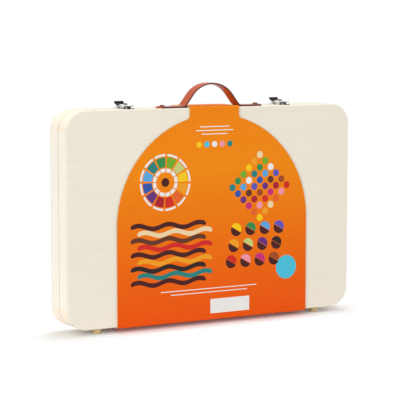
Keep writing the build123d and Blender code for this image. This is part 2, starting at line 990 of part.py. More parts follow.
save("handle_strap", handle_strap())
save("handle_washers", *handle_washers())
save("handle_screws", *handle_screws())

for side, x in (("left", -latch_spread), ("right", latch_spread)):
    place = Pos(x, 0, case_top)
    save(f"{side}_latch_base", place * latch_base())
    save(f"{side}_latch_pin", place * latch_pin())
    save(f"{side}_latch_lever", place * latch_lever())
    save(f"{side}_latch_loop", place * latch_loop())
    save(f"{side}_latch_catch", place * latch_catch())
    screws = [latch_screw(*spot) for spot in back_latch_screws]
    save(f"{side}_latch_base_screws", *[place * screw for screw in screws])
    screws = [latch_screw(*spot) for spot in front_latch_screws]
    save(f"{side}_latch_catch_screws", *[place * screw for screw in screws])

board = sleeve_board()
save("sleeve_back", board)
save("sleeve_front", to_front(board))

save("back_tray", moulded_tray(back_pockets()))
save("front_tray", to_front(moulded_tray(front_pockets())))

pencil_radius = pencil_across_flats / 2
pencil_spots = [(x, pencil_low) for x in pencil_places]
save("colour_pencils", *upright(pencil_wood(pencil_length), 1, pencil_radius, pencil_spots))
save(
    "colour_pencil_points",
    *upright(pencil_point(pencil_length), 1, pencil_radius, pencil_spots),
)
marker_spots = [(x, marker_low) for x in marker_places]
save("marker_barrels", *upright(marker_barrel(), 1, marker_cap_radius, marker_spots))
save("marker_caps", *upright(marker_cap(), 1, marker_cap_radius, marker_spots))

graphite = (pencil_radius, graphite_length, tray_width / 4, loose_rows)
save("graphite_pencils", *lying(pencil_wood(graphite_length), *graphite))
save("graphite_points", *lying(pencil_point(graphite_length), *graphite))
brush = (brush_belly_radius, brush_length, -tray_width / 4, loose_rows)
save("brush_handles", *lying(brush_handle(), *brush))
save("brush_ferrules", *lying(brush_ferrule(), *brush))
save("brush_hair", *lying(brush_hair(), *brush))

pastel_spots = [(x, z - pastel_length / 2) for z in pastel_middles for x in pastel_columns]
save("oil_pastels", *upright(oil_pastel(), -1, pastel_radius, pastel_spots))
tube_spots = [(x, z - tube_overall / 2) for z in tube_middles for x in tube_columns]
save("paint_tube_bodies", *upright(tube_body(), -1, tube_radius, tube_spots))
save("paint_tube_caps", *upright(tube_cap(), -1, tube_radius, tube_spots))

front_floor = -(pocket_floor - rest_gap)
eraser_seat = Pos(eraser_place, front_floor + eraser_thickness / 2, case_middle + loose_middle)
save("eraser", eraser_seat * eraser())
sharpener_seat = Pos(sharpener_place, front_floor, case_middle + loose_middle) * Rot(180, 0, 0)
save("sharpener_body", sharpener_seat * sharpener_body())
save("sharpener_blade", sharpener_seat * sharpener_blade())
save("sharpener_screw", sharpener_seat * sharpener_screw())
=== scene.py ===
# %% [markdown]
# A wooden art case with its card sleeve.
# The case is a pair of shallow basswood trays, hinged along the bottom edge, with a leather strap,
# two small toggle latches, an orange sleeve of fluted board and the supplies inside. The frame
# brings the wooden, metal and plastic pieces at their real size. This lesson gives them their
# finishes, and models the leather, the fluted board, the print and the paper wrappers.

# %% Load the frame
from math import asin, cos, degrees, pi, radians, sin, sqrt, tan

import bmesh
import bpy
from mathutils import Matrix, Vector


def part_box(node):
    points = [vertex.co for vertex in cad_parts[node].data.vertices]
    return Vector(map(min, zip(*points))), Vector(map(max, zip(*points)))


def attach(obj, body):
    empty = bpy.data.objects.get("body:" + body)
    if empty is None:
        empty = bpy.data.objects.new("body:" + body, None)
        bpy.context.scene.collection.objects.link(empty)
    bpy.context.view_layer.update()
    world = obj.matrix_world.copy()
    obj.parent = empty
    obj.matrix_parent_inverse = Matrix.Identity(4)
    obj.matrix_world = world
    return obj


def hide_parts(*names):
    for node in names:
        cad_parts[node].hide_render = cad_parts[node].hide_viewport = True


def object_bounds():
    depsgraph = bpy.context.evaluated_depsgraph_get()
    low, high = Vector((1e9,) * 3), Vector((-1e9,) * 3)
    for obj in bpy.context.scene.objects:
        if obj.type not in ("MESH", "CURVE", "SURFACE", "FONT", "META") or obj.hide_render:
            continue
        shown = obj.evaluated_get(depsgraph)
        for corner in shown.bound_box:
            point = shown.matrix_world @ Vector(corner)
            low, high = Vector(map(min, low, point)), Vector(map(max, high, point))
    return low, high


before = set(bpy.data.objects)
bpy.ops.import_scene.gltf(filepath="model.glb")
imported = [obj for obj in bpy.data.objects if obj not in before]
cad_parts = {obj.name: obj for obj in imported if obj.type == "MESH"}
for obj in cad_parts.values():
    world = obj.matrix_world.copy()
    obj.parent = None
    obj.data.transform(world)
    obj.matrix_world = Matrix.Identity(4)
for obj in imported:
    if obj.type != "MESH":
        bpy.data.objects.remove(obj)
cad_low, cad_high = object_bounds()
MM = 0.001
print("the case measures", [round(side / MM) for side in cad_high - cad_low], "mm")

# %% [markdown]
# The camera stands left of the case and a little above its middle, with a long lens, so the
# upright edges stay almost parallel. It could be placed by eye, but its turn, height and distance
# all move the same edges, so they were worked out together from the corners of the case.

# %% Camera
scene = bpy.context.scene
PHOTO_WIDTH = 400
FOCAL_PIXELS = 1613.2
AZIMUTH = radians(-29.06)
ELEVATION = radians(6.17)
AIM = Vector((-7.35, 0, 168.7)) * MM
DISTANCE = 2224.4 * MM

camera_data = bpy.data.cameras.new("camera")
camera_data.sensor_width = 36
camera_data.lens = FOCAL_PIXELS / PHOTO_WIDTH * camera_data.sensor_width
camera = bpy.data.objects.new("camera", camera_data)
scene.collection.objects.link(camera)
towards = Vector(
    (sin(AZIMUTH) * cos(ELEVATION), -cos(AZIMUTH) * cos(ELEVATION), sin(ELEVATION))
)
camera.location = AIM + DISTANCE * towards
camera.rotation_euler = (-towards).to_track_quat("-Z", "Y").to_euler()
scene.camera = camera
scene.view_settings.view_transform = "Standard"
print("lens", round(camera_data.lens, 1), "mm")

# %% [markdown]
# A finish is a small network of nodes. It could be drawn in the editor, but written down it can
# be read and shared by many pieces. Three short classes keep it readable. A Value wraps one
# socket, so that sums and products are written with Python's own signs. A Network makes any node
# from its settings and what feeds it, and a Finish is the network of one material.

# %% Finishes as expressions
def rgb(red, green, blue):
    """A colour given as on screen, 0 to 255, in the linear numbers that a shader takes."""
    def linear(level):
        level /= 255
        return level / 12.92 if level <= 0.04045 else ((level + 0.055) / 1.055) ** 2.4
    return (linear(red), linear(green), linear(blue), 1.0)


# A Mix node has sockets for every kind of data. These are the ones for colours.
MIX_START, MIX_END, MIX_RESULT = 6, 7, 2


class Value:
    """One output socket that can be added, multiplied and compared."""

    def __init__(self, network, socket):
        self.network = network
        self.socket = socket

    def math(self, operation, *terms):
        return self.network.node("ShaderNodeMath", {"operation": operation}, dict(enumerate(terms)))

    def __add__(self, other):
        return self.math("ADD", self, other)

    __radd__ = __add__

    def __sub__(self, other):
        return self.math("SUBTRACT", self, other)

    def __rsub__(self, other):
        return self.math("SUBTRACT", other, self)

    def __mul__(self, other):
        return self.math("MULTIPLY", self, other)

    __rmul__ = __mul__

    def __truediv__(self, other):
        return self.math("DIVIDE", self, other)

    def above(self, edge, soft=0.0):
        """1 where the value is over an edge, 0 below, with a soft step between."""
        if soft == 0:
            return self.math("GREATER_THAN", self, edge)
        return self.network.node(
            "ShaderNodeMapRange",
            {"interpolation_type": "SMOOTHSTEP"},
            {"Value": self, "From Min": edge - soft, "From Max": edge + soft},
        )

    def within(self, low, high, soft):
        """1 where the value lies between two edges."""
        return self.above(low, soft) * (1 - self.above(high, soft))

    def larger(self, other):
        return self.math("MAXIMUM", self, other)

    def size(self):
        return self.math("ABSOLUTE", self)

    def wave(self, pitch):
        """A sine along the value, with one full wave for each pitch."""
        return self.math("SINE", self * (2 * pi / pitch))


def socket_name(word):
    """base_color as the shader's own Base Color."""
    return word.replace("_", " ").title().replace("Ior", "IOR")


class Network:
    """A tree of nodes that grows by expressions."""

    def __init__(self, tree):
        self.tree = tree

    def node(self, kind, settings=None, feeds=None, output=0):
        """Makes a node. Its settings come first, then the values or links of its sockets."""
        made = self.tree.nodes.new(kind)
        for name, value in (settings or {}).items():
            if name == "stops":
                self.set_stops(made.color_ramp, *value)
            else:
                setattr(made, name, value)
        for name, value in (feeds or {}).items():
            self.feed(made.inputs[name], value)
        return Value(self, made.outputs[output])

    def feed(self, socket, value):
        """Links a Value to a socket, or sets the socket to a plain number or colour."""
        if isinstance(value, Value):
            self.tree.links.new(value.socket, socket)
        else:
            socket.default_value = value

    def set_stops(self, ramp, way, stops):
        """Fills a ramp with (place, colour) stops and says how it goes from one to the next."""
        ramp.interpolation = way
        while len(ramp.elements) < len(stops):
            ramp.elements.new(1.0)
        for element, (place, colour) in zip(ramp.elements, stops):
            element.position = place
            element.color = colour


class Finish(Network):
    """A material on a Principled shader, and the nodes that feed it."""

    def __init__(self, name, **fixed):
        self.material = bpy.data.materials.new(name)
        self.material.use_nodes = True
        super().__init__(self.material.node_tree)
        self.shader = self.tree.nodes["Principled BSDF"]
        for word, value in fixed.items():
            self.shader.inputs[socket_name(word)].default_value = value

    def place(self):
        """Where a point of the piece is, in metres, at rest."""
        return self.node("ShaderNodeTexCoord", output="Object")

    def axis(self, letter):
        """One coordinate of that place."""
        return self.node("ShaderNodeSeparateXYZ", {}, {0: self.place()}, letter)

    def facing(self, letter):
        """How far the surface faces along one axis, from -1 to 1."""
        normal = self.node("ShaderNodeTexCoord", output="Normal")
        return self.node("ShaderNodeSeparateXYZ", {}, {0: normal}, letter)

    def noise(self, scale, stretch=(1, 1, 1), detail=3.0, roughness=0.55):
        """Soft noise with so many blobs per metre, squeezed along the axes."""
        squeezed = self.node(
            "ShaderNodeVectorMath", {"operation": "MULTIPLY"}, {0: self.place(), 1: stretch}
        )
        return self.node(
            "ShaderNodeTexNoise",
            {},
            {"Vector": squeezed, "Scale": scale, "Detail": detail, "Roughness": roughness},
        )

    def mix(self, amount, start, end):
        """A colour between two colours."""
        return self.node(
            "ShaderNodeMix",
            {"data_type": "RGBA"},
            {0: amount, MIX_START: start, MIX_END: end},
            MIX_RESULT,
        )

    def ramp(self, value, stops, way="LINEAR"):
        """A colour from a value, by (place, colour) stops."""
        return self.node("ShaderNodeValToRGB", {"stops": (way, stops)}, {"Fac": value})

    def paint(self, **sockets):
        """Feeds what varies over the surface."""
        for name, value in sockets.items():
            self.feed(self.shader.inputs[socket_name(name)], value)

    def bump(self, height, strength, depth):
        """Small relief, its full depth given in metres."""
        relief = self.node(
            "ShaderNodeBump", {}, {"Height": height, "Strength": strength, "Distance": depth}
        )
        self.feed(self.shader.inputs["Normal"], relief)


print("half grey on screen is", round(rgb(128, 128, 128)[0], 3), "to a shader")

# %% [markdown]
# The floor is white paper that takes the soft shadow. To the camera it glows a little, so that it
# meets the white world without an edge. A large sheet would hide the opened half, which hangs
# below it, so it is a strip under the case that thins out in front and behind by its alpha.

# %% Floor
FLOOR_HALF = 6.0
FLOOR_GLOW = 0.04
FLOOR_EDGE = 46 * MM
FLOOR_FADE = 14 * MM
FLOOR_SEEN = 0.45
FLOOR_SEEN_FADE = 0.15
FLOOR_WHITE = (0.92, 0.92, 0.92, 1)

floor_mesh = bmesh.new()
bmesh.ops.create_grid(floor_mesh, x_segments=1, y_segments=1, size=FLOOR_HALF)
floor_data = bpy.data.meshes.new("floor")
floor_mesh.to_mesh(floor_data)
floor_mesh.free()
floor = bpy.data.objects.new("floor", floor_data)
scene.collection.objects.link(floor)
floor_finish = Finish("floor_paper", base_color=FLOOR_WHITE, roughness=0.95, emission_strength=1)
in_view = floor_finish.node("ShaderNodeLightPath", output="Is Camera Ray")
glow = floor_finish.mix(in_view, (0, 0, 0, 1), (FLOOR_GLOW, FLOOR_GLOW, FLOOR_GLOW, 1))
aside = floor_finish.axis("Y").size().above(FLOOR_EDGE, FLOOR_FADE)
reach = floor_finish.node(
    "ShaderNodeVectorMath", {"operation": "LENGTH"}, {0: floor_finish.place()}, "Value"
)
laid = (1 - aside) * (1 - reach.above(FLOOR_SEEN, FLOOR_SEEN_FADE))
floor_finish.paint(alpha=laid, emission_color=glow)
floor_data.materials.append(floor_finish.material)
print("the floor shows", round(2 * FLOOR_EDGE / MM), "mm deep under the case")

# %% [markdown]
# To the camera and in reflections the world is plain white, but it lights the case with less than
# that, so that the background is white without more light on the object. A low lamp on the left
# makes the near end brighter than the front, one in front fills the face, and one overhead gives
# the floor its shadow. All three are wide squares, because a small lamp would draw hard shadows.

# %% World and lamps
WORLD_LIGHT = 0.68
world = bpy.data.worlds.new("studio")
world.use_nodes = True
scene.world = world
studio = Network(world.node_tree)
backdrop = studio.tree.nodes["Background"]
backdrop.inputs["Color"].default_value = (1, 1, 1, 1)
seen = studio.node("ShaderNodeLightPath", output="Is Camera Ray")
for ray in ("Is Glossy Ray", "Is Transmission Ray"):
    seen = seen.larger(studio.node("ShaderNodeLightPath", output=ray))
studio.feed(backdrop.inputs["Strength"], WORLD_LIGHT + (1 - WORLD_LIGHT) * seen)
case_middle = (cad_low + cad_high) / 2


def lamp(name, place, size, watts):
    """A soft square lamp that faces the middle of the case."""
    data = bpy.data.lights.new(name, "AREA")
    data.size = size
    data.energy = watts
    made = bpy.data.objects.new(name, data)
    made.location = place
    made.rotation_euler = (case_middle - Vector(place)).to_track_quat("-Z", "Y").to_euler()
    scene.collection.objects.link(made)


lamp("key", place=(-2.7, -1.5, 0.7), size=1.2, watts=40)
lamp("overhead", place=(0.12, 0.15, 2.3), size=0.6, watts=20)
lamp("fill", place=(1.2, -2.7, 0.8), size=1.4, watts=14)

# %% [markdown]
# Basswood is pale and nearly plain. A photograph of wood would repeat and run the wrong way on
# some strips, so its grain is a faint noise stretched along each strip, with finer pores over it.
# The plywood faces show their darker middle veneer only at the cut edge, which is found from how
# far a point lies from the seam. A dark line along the seam is dirt and painted shade in its
# groove.

# %% Pale wood
SEAM_GROOVE = 0.75 * MM
SEAM_SHADE_AND_DIRT = 0.5
VENEER_PLACE = 24.5 * MM
VENEER_HALF = 0.55 * MM
VENEER_SOFT = 0.1 * MM
VENEER_DARK = 0.2
# Blobs of noise for each metre, along the grain and across it.
GRAIN_LONG = 7
GRAIN_FINE = 160
PORE_LONG = 30
PORE_FINE = 1100


def grain_stretch(along, fine, axis):
    """How much noise is squeezed along each axis, for grain along one of them."""
    return tuple(along if letter == axis else fine for letter in "XYZ")


def wood(name, pale, deep, grain, plywood=False):
    """Sanded wood under a thin clear varnish."""
    finish = Finish(name, specular_ior_level=0.22)
    figure = finish.noise(1, grain_stretch(GRAIN_LONG, GRAIN_FINE, grain), 4)
    pores = finish.noise(1, grain_stretch(PORE_LONG, PORE_FINE, grain), 2)
    cloud = finish.noise(9, detail=2)
    depth = figure * 0.55 + pores * 0.25 + cloud * 0.35 - 0.12
    colour = finish.mix(depth, pale, deep)
    if plywood:
        off = (finish.axis("Y").size() - VENEER_PLACE).size()
        veneer = 1 - off.above(VENEER_HALF, VENEER_SOFT)
        colour = finish.mix(veneer * VENEER_DARK, colour, rgb(196, 170, 128))
    # Dirt and painted shade in the seam's groove darken the wood near the seam.
    groove_shade_and_dirt = 1 - finish.axis("Y").size().above(SEAM_GROOVE, SEAM_GROOVE / 2)
    colour = finish.mix(groove_shade_and_dirt * SEAM_SHADE_AND_DIRT, colour, rgb(150, 122, 88))
    finish.paint(base_color=colour, roughness=0.42 + pores * 0.16)
    finish.bump(figure * 0.4 + pores * 0.6, 0.5, 0.05 * MM)
    return finish


PALE = rgb(238, 232, 219)
PALE_DEEP = rgb(228, 217, 197)
panel_wood = wood("panel_wood", PALE, PALE_DEEP, "X", plywood=True)
flat_strip_wood = wood("flat_strip_wood", rgb(232, 226, 212), rgb(221, 210, 190), "X")
upright_strip_wood = wood("upright_strip_wood", rgb(245, 240, 230), rgb(236, 226, 208), "Z")
corner_wood = wood("corner_wood", rgb(247, 237, 220), rgb(238, 221, 196), "Z")
foot_wood = wood("foot_wood", rgb(226, 198, 150), rgb(196, 160, 108), "Z")

# %% [markdown]
# The wooden pieces have their final shape in the frame, so only their material slots change. A set
# keeps the names of the dressed nodes, to show at the end whether one was forgotten.

# %% Dress the case
DRESSED = set()


def dress(finish, *nodes):
    """Puts a finish on carried-over nodes."""
    DRESSED.update(nodes)
    for name in nodes:
        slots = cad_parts[name].data.materials
        slots.clear()
        slots.append(finish.material)
    print(finish.material.name, "on", *nodes)


for half in ("front", "back"):
    dress(panel_wood, f"{half}_panel")
    dress(flat_strip_wood, f"{half}_top_rail", f"{half}_bottom_rail")
    dress(upright_strip_wood, f"{half}_left_rail", f"{half}_right_rail")
    dress(corner_wood, f"{half}_corner_blocks")
    dress(foot_wood, f"{half}_feet")

# %% [markdown]
# The small metal parts have four finishes. The latch levers and catches are black nickel on bright
# nickel bases and loops, the strap's screws and washers are antique brass, near to the leather,
# and the hinges under the case are plain zinc. One function makes them all: plating differs in
# its two tones, in how far it is worn and in how rough it is.

# %% Metals
WEAR_SOFT = 0.12


def metal(name, dark, bright, wear, rough, scale=700):
    """Plated metal with cloudy wear."""
    finish = Finish(name, metallic=1.0)
    cloud = finish.noise(scale, detail=4)
    worn = cloud.above(wear, WEAR_SOFT)
    finish.paint(base_color=finish.mix(worn, dark, bright), roughness=rough + cloud * 0.2)
    finish.bump(cloud, 0.4, 0.02 * MM)
    return finish


black_nickel = metal("black_nickel", rgb(30, 27, 26), rgb(96, 90, 86), 0.66, 0.24)
nickel = metal("nickel", rgb(150, 146, 142), rgb(224, 221, 218), 0.45, 0.16)
antique_brass = metal("antique_brass", rgb(94, 58, 38), rgb(150, 100, 66), 0.6, 0.34)
zinc = metal("zinc", rgb(186, 188, 192), rgb(214, 215, 218), 0.5, 0.28)
dress(zinc, "front_hinge_leaves", "back_hinge_leaves", "hinge_pins")
dress(zinc, "front_hinge_screws", "back_hinge_screws")
for side in ("left", "right"):
    dress(black_nickel, f"{side}_latch_lever", f"{side}_latch_catch")
    dress(nickel, f"{side}_latch_base", f"{side}_latch_pin", f"{side}_latch_loop")
    dress(nickel, f"{side}_latch_base_screws", f"{side}_latch_catch_screws")
dress(antique_brass, "handle_screws", "handle_washers")

# %% [markdown]
# New pieces are made in a bmesh and then put in the scene with their place already in the mesh.
# One helper ends each of them: it makes the object, gives it its finishes, has it ride on a body
# of the frame, and hides the node of the frame that it stands for. Another lays a grid over a
# surface that is given as a function, for papers and strokes of ink.

# %% Helpers for new pieces
SHARP_ANGLE = radians(35)


def finish_piece(mesh, name, body, finishes, stands_for=(), smooth=True):
    """Turns a bmesh into a piece of the object."""
    data = bpy.data.meshes.new(name)
    for face in mesh.faces:
        face.smooth = smooth
    for edge in mesh.edges:
        edge.smooth = not edge.is_boundary and edge.calc_face_angle(0) < SHARP_ANGLE
    mesh.to_mesh(data)
    mesh.free()
    for finish in finishes:
        data.materials.append(finish.material)
    piece = bpy.data.objects.new(name, data)
    scene.collection.objects.link(piece)
    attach(piece, body)
    if stands_for:
        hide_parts(*stands_for)
    print(name, len(data.polygons), "faces")
    return piece


def lay_grid(mesh, columns, rows, place):
    """A grid whose points move to place(u, v), with u and v from 0 to 1."""
    made = bmesh.ops.create_grid(mesh, x_segments=columns, y_segments=rows, size=0.5)["verts"]
    for vert in made:
        vert.co = place(vert.co.x + 0.5, vert.co.y + 0.5)
    return made


def between(start, end, part):
    return start + (end - start) * part


print("edges sharper than", round(degrees(SHARP_ANGLE)), "degrees stay sharp")

# %% [markdown]
# The handle is one strap of thick saddle leather with round ends, bent up at each foot and over at
# the crown. A curve with a bevel would make the run but not its round ends. Here a loop in the
# shape of the strap's section is extruded along the straight runs and spun round each bend, as the
# strap itself was bent. The bends and the runs between them follow from a few sizes.

# %% Sizes of the strap
STRAP_WIDTH = 20 * MM
STRAP_THICKNESS = 2.4 * MM
STRAP_END = 80 * MM
STRAP_ROUND = 6 * MM
STRAP_RISE = 30.8 * MM
FLANK = radians(53)
ARCH_FOOT = 42.5 * MM
ARCH_RADIUS = 37 * MM
BEND_RADIUS = 9 * MM

strap_low, strap_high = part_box("handle_strap")
strap_line = Vector((0, (strap_low.y + strap_high.y) / 2, strap_low.z + STRAP_THICKNESS / 2))
half_turn = FLANK / 2
foot_run = STRAP_END - STRAP_ROUND - ARCH_FOOT - BEND_RADIUS * tan(half_turn)
flank_run = STRAP_RISE / sin(FLANK) - (BEND_RADIUS + ARCH_RADIUS) * tan(half_turn)
shoulder = ARCH_FOOT - STRAP_RISE / tan(FLANK)
crown_run = 2 * (shoulder - ARCH_RADIUS * tan(half_turn))
print("runs of the strap", [round(run / MM, 1) for run in (foot_run, flank_run, crown_run)], "mm")

# %% [markdown]
# Three small helpers draw the section, pull a new loop on from the last one and spin loops round a
# bend. The section is a circle whose points are pushed out towards a rectangle, which leaves the
# edges of the leather softly rounded.

# %% Loops of the strap
SECTION_POINTS = 28
EDGE_FULLNESS = 0.42
BEND_STEPS = 14


def strap_section(mesh, x):
    """The rounded outline of the strap, across its run."""
    ring = bmesh.ops.create_circle(mesh, segments=SECTION_POINTS, radius=1)["verts"]
    for vert in ring:
        across, up = (
            abs(part) ** EDGE_FULLNESS * (1 if part > 0 else -1) for part in vert.co[:2]
        )
        vert.co = strap_line + Vector((x, across * STRAP_WIDTH / 2, up * STRAP_THICKNESS / 2))
    return ring


def loop_edges(mesh, ring):
    """The edges that join the points of a loop."""
    chosen = set(ring)
    return [edge for edge in mesh.edges if set(edge.verts) <= chosen]


def pull_on(mesh, ring, move):
    """Extrudes the last loop and moves the new one."""
    made = bmesh.ops.extrude_edge_only(mesh, edges=loop_edges(mesh, ring))["geom"]
    fresh = [item for item in made if isinstance(item, bmesh.types.BMVert)]
    bmesh.ops.translate(mesh, verts=fresh, vec=move)
    return fresh


def bend_on(mesh, ring, centre, turn):
    """Spins the last loop about a centre, upwards for a positive turn."""
    made = bmesh.ops.spin(
        mesh, geom=list(ring) + loop_edges(mesh, ring), cent=centre, axis=(0, -1, 0),
        angle=turn, steps=BEND_STEPS,
    )["geom_last"]
    return [item for item in made if isinstance(item, bmesh.types.BMVert)]


print(SECTION_POINTS, "points round the strap")

# %% [markdown]
# The ends are cut round and skived a little thinner at the tip. Each loop there is pulled on from
# the last and scaled across the strap, so that both corners follow a quarter circle.

# %% Round ends of the strap
END_STEPS = 6
TIP_THINNING = 0.8


def rounded_tip(mesh, tip, way):
    """The loops of an end, from its capped tip to full width."""
    half = STRAP_WIDTH / 2
    about_line = Matrix.Translation(-strap_line)
    ring = strap_section(mesh, tip)
    bmesh.ops.contextual_create(mesh, geom=ring)
    reached, wide, thick = 0.0, 1.0, 1.0
    for step in range(END_STEPS + 1):
        angle = step / END_STEPS * pi / 2
        inwards = STRAP_ROUND * (1 - cos(angle))
        width = 1 - STRAP_ROUND / half * (1 - sin(angle))
        thickness = 1.0 if step else TIP_THINNING
        if step:
            ring = pull_on(mesh, ring, (way * (inwards - reached), 0, 0))
        scaling = (1, width / wide, thickness / thick)
        bmesh.ops.scale(mesh, vec=scaling, verts=ring, space=about_line)
        reached, wide, thick = inwards, width, thickness
    return ring


strap = bmesh.new()
ring = rounded_tip(strap, -STRAP_END, 1)
print("left end", len(strap.faces), "faces")

# %% [markdown]
# Now the strap grows from its left end to its right. A run has its length and its number of loops,
# and a bend its turn and its radius. The place and heading of the last loop are kept on the way,
# and the place that they end at shows whether the sizes agree.

# %% Bend the strap
STRAP_WELD = 0.02 * MM
heading = 0.0
spot = Vector((-STRAP_END + STRAP_ROUND, strap_line.y, strap_line.z))
for kind, amount, detail in (
    ("run", foot_run, 5),
    ("bend", FLANK, BEND_RADIUS),
    ("run", flank_run, 3),
    ("bend", -FLANK, ARCH_RADIUS),
    ("run", crown_run, 1),
    ("bend", -FLANK, ARCH_RADIUS),
    ("run", flank_run, 3),
    ("bend", FLANK, BEND_RADIUS),
    ("run", foot_run, 5),
):
    if kind == "run":
        ahead = Vector((cos(heading), 0, sin(heading))) * amount / detail
        for _ in range(detail):
            ring = pull_on(strap, ring, ahead)
            spot += ahead
        continue
    inside = detail if amount > 0 else -detail
    centre = spot + Vector((-sin(heading), 0, cos(heading))) * inside
    ring = bend_on(strap, ring, centre, amount)
    spot = Matrix.Rotation(amount, 3, (0, -1, 0)) @ (spot - centre) + centre
    heading += amount
rounded_tip(strap, STRAP_END, -1)
bmesh.ops.remove_doubles(strap, verts=strap.verts, dist=STRAP_WELD)
bmesh.ops.recalc_face_normals(strap, faces=strap.faces)
print("the runs and bends end at", [round(part / MM, 2) for part in spot], "mm")

# %% [markdown]
# Saddle leather is red-brown and slightly uneven, with darker painted edges and a clear dressing
# that mirrors the light. Noise at two scales gives the hide and its pebbled grain, and the edge is
# found from how far a point lies from the middle of the strap.

# %% Saddle leather
EDGE_PAINT = 0.7 * MM
EDGE_SOFT = 0.25 * MM
leather = Finish("saddle_leather", specular_ior_level=0.1, coat_weight=0.35, coat_roughness=0.1)
hide = leather.noise(90, detail=5)
pebble = leather.noise(1400, detail=2)
off_line = (leather.axis("Y") - strap_line.y).size()
edge = off_line.above(STRAP_WIDTH / 2 - EDGE_PAINT, EDGE_SOFT)
tan_colour = leather.mix(hide, rgb(142, 42, 10), rgb(200, 84, 26))
leather.paint(
    base_color=leather.mix(edge, tan_colour, rgb(78, 32, 28)),
    roughness=0.5 + hide * 0.15,
)
leather.bump(pebble * 0.6 + hide * 0.4, 0.5, 0.12 * MM)
finish_piece(strap, "leather_strap", "front_half", [leather], ["handle_strap"])

# %% [markdown]
# The sleeve is real fluted board: a printed outer paper, a wavy middle paper and a plain inner
# paper. A solid plate would hide that its cut edges show the waves. So each paper is a set of
# grids bent along one path, from the flap under the case, up the face and over the top to the
# seam, and a Solidify modifier gives it its thickness.

# %% Sizes of the sleeve
SLEEVE_WIDTH = 297 * MM
TAB_WIDTH = 77 * MM
TAB_DROP = 14.5 * MM
TAB_ROUND = 5 * MM
FOLD = 2 * MM
FLAP_SETBACK = 3.5 * MM
SEAM_SETBACK = 0.2 * MM
BOARD = 1.5 * MM
PRINT_DEPTH = 0.05 * MM
PAPER = 0.22 * MM
FLUTES = 46
FLUTE_PITCH = SLEEVE_WIDTH / 2 / FLUTES

sleeve_low, sleeve_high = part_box("sleeve_front")
case_low, case_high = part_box("front_panel")
board_front = -sleeve_low.y
board_bottom = sleeve_low.z
board_top = sleeve_high.z
arch_radius = SLEEVE_WIDTH / 2
tab_x = TAB_WIDTH / 2
arch_spring = case_high.z - TAB_DROP - sqrt(arch_radius**2 - tab_x**2)
round_x = tab_x + TAB_ROUND
round_z = arch_spring + sqrt((arch_radius + TAB_ROUND) ** 2 - round_x**2)
round_end = round_x * arch_radius / (arch_radius + TAB_ROUND)
print("the arch springs at", round(arch_spring / MM, 1), "mm, flutes", round(FLUTE_PITCH / MM, 2))

# %% [markdown]
# Three functions say where the board lies. The top of each column follows the arch, with a small
# round where the arch meets the tab. The path is counted in stretches, so that folds and flat
# parts can each have their own rows.

# %% Where the board lies
def sleeve_top(x):
    """How high the face reaches at x: the tab's foot, the small round or the arch."""
    x = abs(x)
    if x <= tab_x:
        return round_z
    if x < round_end:
        return round_z - sqrt(max(TAB_ROUND**2 - (x - round_x) ** 2, 0))
    return arch_spring + sqrt(max(arch_radius**2 - x**2, 0))


def board_place(x, stretch, depth):
    """A place in the front board. Stretch counts flap, fold, face, fold and tab from 0 to 5."""
    part = stretch - int(min(stretch, 4))
    inside = FOLD - depth
    low, high = board_bottom + FOLD, board_top - FOLD
    bend = -board_front + FOLD
    if stretch <= 1:
        return Vector((x, between(-FLAP_SETBACK, bend, part), board_bottom + depth))
    if stretch <= 2:
        turn = (stretch - 1) * pi / 2
        return Vector((x, bend - inside * sin(turn), low - inside * cos(turn)))
    if stretch <= 3:
        return Vector((x, -board_front + depth, between(low, high, stretch - 2)))
    if stretch <= 4:
        turn = (stretch - 3) * pi / 2
        return Vector((x, bend - inside * cos(turn), high + inside * sin(turn)))
    return Vector((x, between(bend, -SEAM_SETBACK, stretch - 4), board_top - depth))


def face_stretch(z):
    """Which stretch of the board lies at a height of the face."""
    low, high = board_bottom + FOLD, board_top - FOLD
    return 2 + (z - low) / (high - low)


print("the face reaches", round(sleeve_top(0) / MM, 1), "mm in the middle")

# %% [markdown]
# Rows and columns are closer together where the board bends: in the folds, in the small rounds
# and on the steep sides of the arch. With even spacing those places would show corners.

# %% Rows and columns of the board
BODY_ROWS = 16
TAB_ROWS = 12
FOLD_ROWS = 4


def body_stretch(part, top):
    """Rows from the flap to the top of the face, closer together in the fold."""
    row = part * BODY_ROWS
    if row <= 1:
        return row
    if row <= 1 + FOLD_ROWS:
        return 1 + (row - 1) / FOLD_ROWS
    return between(2, top, (row - 1 - FOLD_ROWS) / (BODY_ROWS - 1 - FOLD_ROWS))


def tab_stretch(part):
    """Rows from the foot of the tab over the top fold to the seam."""
    row = part * TAB_ROWS
    face_rows = TAB_ROWS - 2 * FOLD_ROWS
    if row <= face_rows:
        return between(face_stretch(round_z), 3, row / face_rows)
    if row <= face_rows + FOLD_ROWS:
        return 3 + (row - face_rows) / FOLD_ROWS
    return 4 + (row - face_rows - FOLD_ROWS) / FOLD_ROWS


def arc_column(part, start, end):
    """Columns evenly spaced round the arch, so that its steep sides stay smooth."""
    from_turn, to_turn = (
        pi / 2 * side / abs(side) if abs(side) >= 1 else asin(side)
        for side in (start / arch_radius, end / arch_radius)
    )
    return arch_radius * sin(between(from_turn, to_turn, part))


print("rows up the face", BODY_ROWS, "and over the top", TAB_ROWS)

# %% [markdown]
# A paper is five grids side by side: an arch side, a small round, the tab's width, a small round
# and an arch side. The tab is one more grid on the middle one. The grids of a paper are welded
# where they meet, and the back board is the front one mirrored, with its faces turned again.

# %% Papers of the board
SIDE_SHARE, ROUND_SHARE, TAB_SHARE = 1.0, 0.06, 0.55
LEAST_COLUMNS = 6
FLAT_COLUMNS = 90
WAVY_COLUMNS = 340
PAPER_WELD = 0.005 * MM


